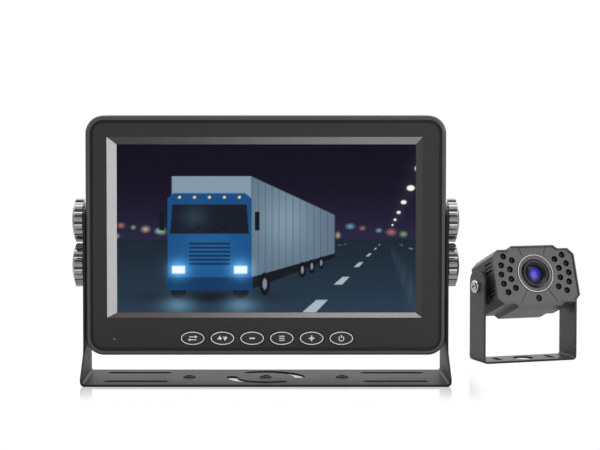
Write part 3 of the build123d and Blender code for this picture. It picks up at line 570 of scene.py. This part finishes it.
# ---------------------------------------------------------------- the picture on the display
@dataclass
class Canvas:
    """A picture painted with soft-edged shapes on the points of a film.

    Places are (across, down) in thousandths of the picture's width and height. Lengths are in thousandths
    of its height.
    """

    across: np.ndarray
    down: np.ndarray
    aspect: float
    colour: np.ndarray = field(init=False)

    def __post_init__(self) -> None:
        """Start black."""
        self.colour = np.zeros((len(self.across), 3))

    def lay(self, mask: np.ndarray, hex_colour: str) -> None:
        """Lay a colour over the picture.

        Args:
            mask: opacity at each point.
            hex_colour: colour.
        """
        mask = np.clip(mask, 0, 1)[:, None]
        self.colour = self.colour * (1 - mask) + srgb(hex_colour) * mask

    def add(self, mask: np.ndarray, hex_colour: str) -> None:
        """Add light of one colour.

        Args:
            mask: amount at each point.
            hex_colour: colour.
        """
        self.colour = self.colour + srgb(hex_colour) * np.clip(mask, 0, 1)[:, None]

    def spot(self, at: Point, radii: Point, turn: float = 0.0, soft: float = 0.1) -> np.ndarray:
        """Mask of a turned ellipse.

        Args:
            at: its middle.
            radii: half its width and height.
            turn: degrees, anticlockwise.
            soft: share of the radius over which its edge fades.

        Returns:
            The mask.
        """
        dx = (self.across - at[0]) * self.aspect
        dy = self.down - at[1]
        c, s = math.cos(math.radians(turn)), math.sin(math.radians(turn))
        reach = np.hypot((dx * c - dy * s) / radii[0], (dx * s + dy * c) / radii[1])
        return np.clip((1 + soft - reach) / (2 * soft), 0, 1)

    def glow(self, at: Point, radii: Point, turn: float = 0.0) -> np.ndarray:
        """Mask that falls smoothly from 1 at the middle of an ellipse to nothing far outside it."""
        dx = (self.across - at[0]) * self.aspect
        dy = self.down - at[1]
        c, s = math.cos(math.radians(turn)), math.sin(math.radians(turn))
        return np.exp(-((dx * c - dy * s) / radii[0]) ** 2 - ((dx * s + dy * c) / radii[1]) ** 2)

    def patch(self, *corners: Point, soft: float = 3.0) -> np.ndarray:
        """Mask of a closed shape with straight sides.

        Args:
            *corners: its corners in order.
            soft: width over which its edge fades.

        Returns:
            The mask.
        """
        px, py = self.across * self.aspect, self.down
        inside = np.zeros(len(px), bool)
        near = np.full(len(px), 1e9)
        for (x0, y0), (x1, y1) in zip(corners, corners[1:] + corners[:1]):
            x0, x1 = x0 * self.aspect, x1 * self.aspect
            crosses = (y0 > py) != (y1 > py)
            with np.errstate(divide="ignore", invalid="ignore"):
                at_x = x0 + (py - y0) * (x1 - x0) / (y1 - y0)
            inside ^= crosses & (px < at_x)
            near = np.minimum(near, self.to_run(px, py, x0, y0, x1, y1))
        return np.clip(0.5 + np.where(inside, near, -near) / soft, 0, 1)

    def to_run(
        self, px: np.ndarray, py: np.ndarray, x0: float, y0: float, x1: float, y1: float
    ) -> np.ndarray:
        """Distance of every point from a straight run."""
        dx, dy = x1 - x0, y1 - y0
        t = np.clip(((px - x0) * dx + (py - y0) * dy) / max(dx * dx + dy * dy, 1e-9), 0, 1)
        return np.hypot(px - x0 - t * dx, py - y0 - t * dy)

    def line(self, start: Point, end: Point, width: float, soft: float = 3.0) -> np.ndarray:
        """Mask of a straight stroke.

        Args:
            start: one end.
            end: the other end.
            width: its width.
            soft: width over which its edge fades.

        Returns:
            The mask.
        """
        run = self.to_run(
            self.across * self.aspect, self.down,
            start[0] * self.aspect, start[1], end[0] * self.aspect, end[1],
        )
        return np.clip(0.5 + (width / 2 - run) / soft, 0, 1)


@dataclass
class DisplayPicture:
    """Emissive film on the display that shows a plain box lorry on a wet road at night.

    The picture's own places are thousandths of its width and height, as Canvas takes them.
    """

    width: float = 198.0
    height: float = 111.7
    centre: Point = (0.3, 101.5)
    front_y: float = -7.24
    columns: int = 380
    rows: int = 214
    turned_back: float = 0.03
    horizon: float = 560.0
    vanish_x: float = 900.0
    town_lights: int = 26
    lamps: int = 7
    first_lamp: Point = (1060.0, -20.0)
    lamp_spacing: float = 0.72
    lamp_size: float = 46.0
    lanes: tuple[float, ...] = (-900.0, 620.0, 1500.0)
    dashes: int = 6
    dash_spacing: float = 0.62
    dash_width: float = 46.0
    left: float = 170.0
    right: float = 450.0
    roof: float = 290.0
    sill: float = 860.0
    box_roof: float = 190.0
    depth: float = 0.62
    ribs: int = 12
    wheel: float = 76.0
    grille_bars: int = 6
    roof_lamps: int = 5

    def build(self) -> bpy.types.Object:
        """Make the film, paint it and fit it to the monitor.

        Returns:
            The film.
        """
        film = self.film()
        mesh = film.data
        spots = np.empty(len(mesh.vertices) * 3)
        mesh.vertices.foreach_get("co", spots)
        spots = spots.reshape(-1, 3) / MM
        across = (spots[:, 0] - self.centre[0]) / self.width * 1000 + 500
        down = 500 - (spots[:, 2] - self.centre[1]) / self.height * 1000
        canvas = Canvas(across, down, self.width / self.height)
        self.sky(canvas)
        self.road(canvas)
        self.load_box(canvas)
        self.cab(canvas)
        self.headlamps(canvas)
        picture = to_linear(np.clip(canvas.colour, 0, 1))
        layer = mesh.color_attributes.new("picture", "FLOAT_COLOR", "POINT")
        layer.data.foreach_set("color", np.c_[picture, np.ones(len(picture))].ravel())
        dress(film, self.lit())
        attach(film, "monitor")
        return film

    def film(self) -> bpy.types.Object:
        """A fine grid with a turned-back edge.

        Returns:
            The film.
        """
        bpy.ops.object.select_all(action="DESELECT")
        bpy.ops.mesh.primitive_grid_add(
            x_subdivisions=self.columns, y_subdivisions=self.rows, size=1.0,
            location=(self.centre[0] * MM, self.front_y * MM, self.centre[1] * MM),
            rotation=(math.pi / 2, 0, 0),
        )
        film = bpy.context.object
        film.name = "display_picture"
        film.scale = (self.width * MM, self.height * MM, 1.0)
        bpy.ops.object.transform_apply(location=True, rotation=True, scale=True)
        bpy.ops.object.mode_set(mode="EDIT")
        bpy.ops.mesh.select_all(action="SELECT")
        bpy.ops.mesh.region_to_loop()
        bpy.ops.mesh.extrude_edges_move(TRANSFORM_OT_translate={"value": (0, self.turned_back * MM, 0)})
        bpy.ops.object.mode_set(mode="OBJECT")
        return film

    def lit(self) -> bpy.types.Material:
        """Lit liquid-crystal panel: the picture glows through a smooth polariser.

        Returns:
            The material.
        """
        material, tree = new_material("lit_panel")
        paint = add_node(tree, "ShaderNodeAttribute", attribute_name="picture")
        place = add_node(tree, "ShaderNodeTexCoord")
        haze = add_node(
            tree, "ShaderNodeTexNoise", {"Vector": (place, "Object"), "Scale": 40.0, "Detail": 3.0}
        )
        gloss = add_node(tree, "ShaderNodeMapRange", {"Value": (haze, "Fac"), "To Min": 0.22, "To Max": 0.34})
        shader = add_node(
            tree, "ShaderNodeBsdfPrincipled",
            {"Base Color": (0.004, 0.004, 0.005, 1.0), "Roughness": (gloss, "Result"),
             "Specular IOR Level": 0.05, "Emission Color": (paint, "Color"), "Emission Strength": 1.0},
        )
        add_node(tree, "ShaderNodeOutputMaterial", {"Surface": (shader, "BSDF")})
        return material

    def toward(self, at: Point, share: float) -> Point:
        """Place that lies a share of the way to the vanishing point."""
        return at[0] + (self.vanish_x - at[0]) * share, at[1] + (self.horizon - at[1]) * share

    def sky(self, c: Canvas) -> None:
        """Night sky, paler towards the horizon, over a far row of soft town lights."""
        c.lay(np.ones(len(c.across)), "#0b0818")
        c.lay(np.clip(c.down / self.horizon, 0, 1) ** 2, "#27233f")
        colours = ("#f4d9a0", "#8fd6e6", "#e08a6a", "#9fe08a")
        for n in range(self.town_lights):
            # steps that share no factor with the width scatter the lights evenly
            at = ((n * 137) % 1000, self.horizon - 16 - (n * 29) % 64)
            c.lay(0.65 * c.spot(at, (13 + 3 * (n % 5), 11 + 3 * (n % 3)), 0, 0.7), colours[n % len(colours)])

    def road(self, c: Canvas) -> None:
        """Wet road with broken lane lines and a row of street lamps that shrink with distance."""
        below = np.clip((c.down - self.horizon) / 8, 0, 1)
        c.lay(below, "#18222f")
        c.lay(0.7 * below * np.clip((c.down - self.horizon) / (1000 - self.horizon), 0, 1), "#2c4558")
        for n in range(self.lamps):
            left = self.lamp_spacing ** n
            at = self.toward(self.first_lamp, 1 - left)
            size = self.lamp_size * left
            c.add(0.12 * c.glow(at, (2.2 * size, 2.0 * size)), "#9fb0b4")
            c.lay(c.spot(at, (size, 0.7 * size), 0, 0.2), "#fdf6e6")
            c.add(0.1 * c.glow((at[0], 2 * self.horizon - at[1]), (0.9 * size, 4.0 * size)), "#9fb0b4")
        for lane in self.lanes:
            for n in range(self.dashes):
                begin = 1 - self.dash_spacing ** n
                stop = begin + 0.45 * (1 - begin) * (1 - self.dash_spacing)
                near, far = (lane, 1000.0), (lane + self.dash_width, 1000.0)
                corners = (self.toward(near, begin), self.toward(far, begin),
                           self.toward(far, stop), self.toward(near, stop))
                c.lay(0.8 * c.patch(*corners), "#c6d6de")

    def load_box(self, c: Canvas) -> None:
        """Ribbed load box behind the cab, its side drawn to the vanishing point, and its wheels."""
        floor = self.sill - 70
        top, base = (self.right, self.box_roof), (self.right, floor)
        side = c.patch(top, self.toward(top, self.depth), self.toward(base, self.depth), base)
        c.lay(side, "#5d7284")
        c.lay(0.6 * side * c.glow(self.toward((self.right, 420.0), 0.25), (170, 200)), "#93a9b8")
        for n in range(1, self.ribs):
            share = self.depth * n / self.ribs
            c.lay(0.5 * side * c.line(self.toward(top, share), self.toward(base, share), 4, 4), "#34485a")
        under = (self.right, self.sill)
        c.lay(c.patch(base, self.toward(base, self.depth), self.toward(under, self.depth), under), "#0f141c")
        for share in (0.1, 0.38, 0.45, 0.52):
            at = self.toward((self.right, self.sill), share)
            radius = self.wheel * (1 - share)
            c.lay(c.spot(at, (0.45 * radius, radius), 0, 0.06), "#0b0b11")
            c.lay(c.spot(at, (0.2 * radius, 0.5 * radius), 0, 0.2), "#7f8894")
        inset, behind = self.left + 14, self.roof + 40
        c.lay(c.patch((inset, self.box_roof), top, (self.right, behind), (inset, behind)), "#8297a7")

    def cab(self, c: Canvas) -> None:
        """Square blue cab with a plain grille, mirrors, bumper and a row of roof lamps."""
        left, right, roof, sill = self.left, self.right, self.roof, self.sill
        c.lay(0.75 * c.glow(((left + right) / 2, sill + 46), (330, 34)), "#080c14")
        for x in (left + 36, right - 36):
            c.lay(c.spot((x, sill + 14), (46, 42), 0, 0.1), "#0b0b11")
        front = c.patch((left, roof + 30), (left + 20, roof), (right - 20, roof), (right, roof + 30),
                        (right, sill), (left, sill))
        c.lay(front, "#134a80")
        c.lay(0.5 * front * c.glow(((left + right) / 2, 640), (210, 190)), "#2c70a6")
        screen = ((left + 16, roof + 66), (right - 16, roof + 66), (right - 8, 530), (left + 8, 530))
        c.lay(c.patch(*screen), "#121924")
        c.lay(0.5 * front * c.glow((left + 90, 430), (80, 70)), "#3f566a")
        for x in (left + 70, right - 130):
            c.lay(0.9 * c.line((x, 522), (x + 52, 478), 5, 3), "#05070c")
        for n in range(self.grille_bars):
            down = 590 + 24 * n
            c.lay(0.9 * c.line((left + 74, down), (right - 74, down), 11, 4), "#0a2444")
        bumper = ((left - 5, 790), (right + 5, 790), (right + 5, sill + 8), (left - 5, sill + 8))
        c.lay(c.patch(*bumper), "#0d3760")
        for x in (left - 28, right + 12):
            c.lay(c.patch((x, 400), (x + 16, 400), (x + 16, 510), (x, 510)), "#0b121c")
        for n in range(self.roof_lamps):
            at = (left + 40 + (right - left - 80) * n / (self.roof_lamps - 1), roof + 24)
            c.lay(c.spot(at, (9, 8), 0, 0.3), "#ffd28a")

    def headlamps(self, c: Canvas) -> None:
        """Two lit headlamps and their light on the road."""
        for x in (self.left + 36, self.right - 36):
            c.add(0.5 * c.glow((x, 745), (66, 58)), "#9fd8f0")
            c.lay(c.patch((x - 22, 722), (x + 22, 722), (x + 22, 768), (x - 22, 768), soft=8), "#f2fcff")
            c.add(0.4 * c.glow((x, 950), (100, 60)), "#86b6cc")


# ---------------------------------------------------------------- button legends
class Icon(Enum):
    """Marks on the six buttons."""

    SWAP = "mode"
    UP_DOWN = "channel"
    MINUS = "down"
    LINES = "menu"
    PLUS = "up"
    POWER = "power"


@dataclass
class Legend:
    """White printed outline and mark on one oval button cap."""

    icon: Icon
    x: float
    z: float = 28.9
    cap_y: float = -10.6
    half_width: float = 7.75
    half_height: float = 4.35
    stroke: float = 0.55
    ink: float = 0.08

    def build(self) -> bpy.types.Object:
        """Print the outline and the mark, and fix them to their button.

        Returns:
            The legend.
        """
        bpy.ops.object.select_all(action="DESELECT")
        pieces = [self.ring(self.half_width, self.half_height, self.stroke), *self.marks()]
        for piece in pieces:
            piece.select_set(True)
        legend = pieces[0]
        bpy.context.view_layer.objects.active = legend
        bpy.ops.object.join()
        legend.name = f"legend_{self.icon.value}"
        bpy.ops.object.mode_set(mode="EDIT")
        bpy.ops.mesh.select_all(action="SELECT")
        bpy.ops.mesh.extrude_region_move(TRANSFORM_OT_translate={"value": (0, -self.ink * MM, 0)})
        bpy.ops.mesh.select_all(action="SELECT")
        bpy.ops.mesh.normals_make_consistent(inside=False)
        bpy.ops.object.mode_set(mode="OBJECT")
        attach(legend, f"{self.icon.value}_button")
        return legend

    def place(self, dx: float, dz: float) -> tuple[float, float, float]:
        """Point on the cap, in metres, from millimetres right of and above its middle."""
        return (self.x + dx) * MM, (self.cap_y - 0.01) * MM, (self.z + dz) * MM

    def finish_flat(self, piece: bpy.types.Object) -> bpy.types.Object:
        """Set a flat piece's place into its mesh.

        Args:
            piece: flat piece, selected and active.

        Returns:
            The same piece.
        """
        bpy.ops.object.transform_apply(location=True, rotation=True, scale=True)
        piece.select_set(False)
        return piece

    def ring(
        self, half_width: float, half_height: float, stroke: float, dz: float = 0.0, gap: float = 0.0
    ) -> bpy.types.Object:
        """Oval outline of even width, open at the top over gap millimetres.

        Args:
            half_width: half its width, outside.
            half_height: half its height, outside.
            stroke: width of the line.
            dz: height of its middle above the cap's middle.
            gap: width of the opening at its top.

        Returns:
            The flat outline.
        """
        bpy.ops.object.select_all(action="DESELECT")
        bpy.ops.mesh.primitive_circle_add(
            vertices=96, radius=1.0, fill_type="NGON", location=self.place(0, dz),
            rotation=(math.pi / 2, 0, 0),
        )
        outline = bpy.context.object
        outline.scale = (half_width * MM, half_height * MM, 1.0)
        self.finish_flat(outline)
        outline.select_set(True)
        bpy.ops.object.mode_set(mode="EDIT")
        bpy.ops.mesh.select_all(action="SELECT")
        bpy.ops.mesh.inset(thickness=stroke * MM)
        bpy.ops.mesh.delete(type="FACE")
        bpy.ops.mesh.select_all(action="DESELECT")
        bpy.ops.object.mode_set(mode="OBJECT")
        if gap:
            top = (self.z + dz) * MM
            for face in outline.data.polygons:
                face.select = abs(face.center.x - self.x * MM) < gap * MM / 2 and face.center.z > top
            bpy.ops.object.mode_set(mode="EDIT")
            bpy.ops.mesh.delete(type="FACE")
            bpy.ops.object.mode_set(mode="OBJECT")
        outline.select_set(False)
        return outline

    def bar(self, dx: float, dz: float, width: float, height: float) -> bpy.types.Object:
        """Flat stroke with rounded corners.

        Args:
            dx: its middle, right of the cap's middle.
            dz: its middle, above the cap's middle.
            width: its width.
            height: its height.

        Returns:
            The flat stroke.
        """
        bpy.ops.object.select_all(action="DESELECT")
        bpy.ops.mesh.primitive_plane_add(size=1.0, location=self.place(dx, dz), rotation=(math.pi / 2, 0, 0))
        stroke = bpy.context.object
        stroke.scale = (width * MM, height * MM, 1.0)
        self.finish_flat(stroke)
        stroke.select_set(True)
        bpy.ops.object.mode_set(mode="EDIT")
        bpy.ops.mesh.select_all(action="SELECT")
        bpy.ops.mesh.bevel(offset=0.25 * min(width, height) * MM, segments=3, affect="VERTICES")
        bpy.ops.object.mode_set(mode="OBJECT")
        stroke.select_set(False)
        return stroke

    def tip(self, dx: float, dz: float, turn: float, size: float = 1.25) -> bpy.types.Object:
        """Flat arrow head with blunted corners.

        Args:
            dx: its middle, right of the cap's middle.
            dz: its middle, above the cap's middle.
            turn: degrees from pointing up, clockwise as seen.
            size: distance from its middle to a corner.

        Returns:
            The flat arrow head.
        """
        bpy.ops.object.select_all(action="DESELECT")
        bpy.ops.mesh.primitive_circle_add(
            vertices=3, radius=size * MM, fill_type="NGON", location=self.place(dx, dz),
            rotation=(math.pi / 2, math.radians(turn), 0),
        )
        head = bpy.context.object
        self.finish_flat(head)
        head.select_set(True)
        bpy.ops.object.mode_set(mode="EDIT")
        bpy.ops.mesh.select_all(action="SELECT")
        bpy.ops.mesh.bevel(offset=0.12 * size * MM, segments=2, affect="VERTICES")
        bpy.ops.object.mode_set(mode="OBJECT")
        head.select_set(False)
        return head

    def marks(self) -> list[bpy.types.Object]:
        """The strokes of the button's own mark.

        Returns:
            The flat strokes.
        """
        if self.icon is Icon.SWAP:
            return [
                self.bar(-0.4, 0.95, 4.0, 0.6), self.tip(2.1, 0.95, 90, 1.15),
                self.bar(0.4, -0.95, 4.0, 0.6), self.tip(-2.1, -0.95, -90, 1.15),
            ]
        if self.icon is Icon.UP_DOWN:
            return [self.tip(-1.75, 0.1, 0, 1.9), self.tip(1.75, 0.1, 180, 1.9)]
        if self.icon is Icon.MINUS:
            return [self.bar(0, 0, 3.8, 1.0)]
        if self.icon is Icon.LINES:
            return [self.bar(0, dz, 3.6, 0.55) for dz in (1.35, 0, -1.35)]
        if self.icon is Icon.PLUS:
            return [self.bar(0, 0, 1.0, 3.8), self.bar(-1.2, 0, 1.4, 1.0), self.bar(1.2, 0, 1.4, 1.0)]
        return [self.ring(1.9, 1.9, 0.55, -0.2, 1.8), self.bar(0, 1.2, 0.6, 2.0)]


@dataclass
class RearLabel:
    """Blank foil plate in the rear cover's recess, with an embossed border."""

    centre: Point = (-10.0, 44.0)
    width: float = 69.2
    height: float = 33.2
    back_y: float = 20.42
    thickness: float = 0.3
    border: float = 1.6

    def build(self) -> bpy.types.Object:
        """Make the plate and fix it to the monitor.

        Returns:
            The plate.
        """
        bpy.ops.object.select_all(action="DESELECT")
        bpy.ops.mesh.primitive_plane_add(
            size=1.0, location=(self.centre[0] * MM, self.back_y * MM, self.centre[1] * MM),
            rotation=(-math.pi / 2, 0, 0),
        )
        plate = bpy.context.object
        plate.name = "rear_label"
        plate.scale = (self.width * MM, self.height * MM, 1.0)
        bpy.ops.object.transform_apply(location=True, rotation=True, scale=True)
        bpy.ops.object.mode_set(mode="EDIT")
        bpy.ops.mesh.select_all(action="SELECT")
        bpy.ops.mesh.bevel(offset=2.0 * MM, segments=6, affect="VERTICES")
        bpy.ops.mesh.extrude_region_move(TRANSFORM_OT_translate={"value": (0, self.thickness * MM, 0)})
        for depth in (0.0, -0.1):
            bpy.ops.mesh.inset(thickness=(self.border if depth == 0.0 else 0.25) * MM, depth=depth * MM)
        bpy.ops.mesh.select_all(action="SELECT")
        bpy.ops.mesh.normals_make_consistent(inside=False)
        bpy.ops.object.mode_set(mode="OBJECT")
        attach(plate, "monitor")
        return plate


# ---------------------------------------------------------------- studio
@dataclass
class Studio:
    """White sweep, soft lights and the camera.

    Positions in metres. The eye stands before the display, a hand's breadth above its bracket.
    """

    eye: tuple[float, float, float] = (0.0, -1.193, 0.187)
    lens_mm: float = 107.6
    look_down_deg: float = 2.5
    shift: tuple[float, float] = (0.057, -0.0788)
    mirror: float = 0.42
    polish_depth: tuple[float, float] = (0.035, 0.1)
    polish_width: tuple[float, float] = (0.12, 0.145)

    def build(self) -> None:
        """Make the floor, the world, the lights and the camera."""
        self.floor()
        self.world()
        for name, place, size, power in (
            ("key_right", (1.15, -1.25, 0.75), (0.9, 1.3), 15.6),
            ("fill_left", (-1.3, -1.0, 0.8), (0.6, 1.1), 6.0),
            ("top", (0.0, -0.1, 1.5), (1.6, 0.9), 9.6),
        ):
            self.softbox(name, place, size, power)
        self.camera()

    def softbox(self, name: str, place: tuple, size: tuple, power: float) -> None:
        """Args:
            name: name of the light.
            place: where it hangs.
            size: width and height.
            power: watts.
        """
        data = bpy.data.lights.new(name, "AREA")
        data.shape = "RECTANGLE"
        data.size, data.size_y = size
        data.energy = power
        light = bpy.data.objects.new(name, data)
        light.location = place
        light.rotation_euler = (Vector((0.03, 0.0, 0.08)) - Vector(place)).to_track_quat("-Z", "Y").to_euler()
        bpy.context.scene.collection.objects.link(light)

    def floor(self) -> None:
        """Lay the white floor, polished round the monitor's bracket, where it shows a faint mirror image."""
        bpy.ops.object.select_all(action="DESELECT")
        bpy.ops.mesh.primitive_plane_add(size=14.0, location=(0, 0, 0))
        plane = bpy.context.object
        plane.name = "floor"
        material, tree = new_material("white_acrylic")
        path = add_node(tree, "ShaderNodeLightPath")
        place = add_node(tree, "ShaderNodeTexCoord")
        parts = add_node(tree, "ShaderNodeSeparateXYZ", {"Vector": (place, "Object")})
        away = add_node(tree, "ShaderNodeMath", {0: (parts, "Y")}, operation="ABSOLUTE")
        aside = add_node(tree, "ShaderNodeMath", {0: (parts, "X")}, operation="ABSOLUTE")
        deep = self.fade(tree, (away, 0), *self.polish_depth)
        wide = self.fade(tree, (aside, 0), *self.polish_width)
        polish = self.times(tree, self.times(tree, deep, wide), self.mirror)
        glow = add_node(tree, "ShaderNodeEmission", {"Color": (1, 1, 1, 1), "Strength": 1.01})
        mirror = add_node(tree, "ShaderNodeBsdfGlossy", {"Color": (1, 1, 1, 1), "Roughness": 0.1})
        sheen = add_node(
            tree, "ShaderNodeMixShader", {0: polish, 1: (glow, "Emission"), 2: (mirror, "BSDF")}
        )
        matt = add_node(tree, "ShaderNodeBsdfDiffuse", {"Color": (0.8, 0.8, 0.8, 1)})
        both = add_node(
            tree, "ShaderNodeMixShader",
            {0: (path, "Is Camera Ray"), 1: (matt, "BSDF"), 2: (sheen, "Shader")},
        )
        add_node(tree, "ShaderNodeOutputMaterial", {"Surface": (both, "Shader")})
        dress(plane, material)

    def fade(self, tree: bpy.types.NodeTree, value: Link, start: float, end: float) -> Link:
        """Mask that is 1 up to start and falls smoothly to 0 at end.

        Args:
            tree: node tree.
            value: distance to read, in metres.
            start: distance with full mask.
            end: distance with no mask.

        Returns:
            The node and output that carry the mask.
        """
        return add_node(
            tree, "ShaderNodeMapRange",
            {"Value": value, "From Min": start, "From Max": end, "To Min": 1.0, "To Max": 0.0},
            interpolation_type="SMOOTHSTEP",
        ), "Result"

    def times(self, tree: bpy.types.NodeTree, first: Link, second: Link | float) -> Link:
        """Product of a mask and another mask or a number.

        Args:
            tree: node tree.
            first: mask.
            second: mask or number.

        Returns:
            The node and output that carry the product.
        """
        return add_node(tree, "ShaderNodeMath", {0: first, 1: second}, operation="MULTIPLY"), 0

    def world(self) -> None:
        world = bpy.data.worlds.new("studio")
        bpy.context.scene.world = world
        world.use_nodes = True
        tree = world.node_tree
        tree.nodes.clear()
        path = add_node(tree, "ShaderNodeLightPath")
        place = add_node(tree, "ShaderNodeTexCoord")
        parts = add_node(tree, "ShaderNodeSeparateXYZ", {"Vector": (place, "Generated")})
        behind = add_node(
            tree, "ShaderNodeMapRange",
            {"Value": (parts, "Y"), "From Min": 0.1, "From Max": 0.75, "To Min": 0.15, "To Max": 1.04},
            interpolation_type="SMOOTHSTEP",
        )
        seen = add_node(tree, "ShaderNodeBackground", {"Color": (1, 1, 1, 1), "Strength": 1.01})
        dim = add_node(tree, "ShaderNodeBackground", {"Color": (1, 1, 1, 1), "Strength": (behind, "Result")})
        both = add_node(
            tree, "ShaderNodeMixShader",
            {0: (path, "Is Camera Ray"), 1: (dim, "Background"), 2: (seen, "Background")},
        )
        add_node(tree, "ShaderNodeOutputWorld", {"Surface": (both, "Shader")})
        bpy.context.scene.view_settings.view_transform = "Standard"

    def camera(self) -> None:
        """Set the camera nearly level, with a small shift that frames both units."""
        data = bpy.data.cameras.new("camera")
        data.lens = self.lens_mm
        data.sensor_width = 36.0
        data.shift_x, data.shift_y = self.shift
        data.clip_start, data.clip_end = 0.05, 50.0
        camera = bpy.data.objects.new("camera", data)
        camera.location = self.eye
        camera.rotation_euler = (math.radians(90 - self.look_down_deg), 0, 0)
        bpy.context.scene.collection.objects.link(camera)
        bpy.context.scene.camera = camera


def dress_nodes(built: dict[str, bpy.types.Material]) -> None:
    """Give every carried-over node its finish.

    Args:
        built: material for each finish.
    """
    for node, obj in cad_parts.items():
        if node.startswith("button_"):
            key = "button"
        elif node.startswith("knob_stud"):
            key = "nickel"
        elif node.startswith("knob_washer"):
            key = "washer"
        elif node.startswith("knob_"):
            key = "knob"
        else:
            key = NODE_FINISHES[node]
        dress(obj, built[key])


def main() -> None:
    built = {name: finish.build() for name, finish in FINISHES.items()}
    dress_nodes(built)
    picture = DisplayPicture().build()
    log.info("%s: %d points", picture.name, len(picture.data.vertices))
    for icon in Icon:
        low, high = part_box(f"button_{icon.value}")
        legend = Legend(icon, (low[0] + high[0]) / 2 / MM).build()
        dress(legend, built["ink"])
        log.info("%s", legend.name)
    label = RearLabel().build()
    dress(label, built["label"])
    log.info("%s", label.name)
    Studio().build()


if __name__ == "__main__":
    main()
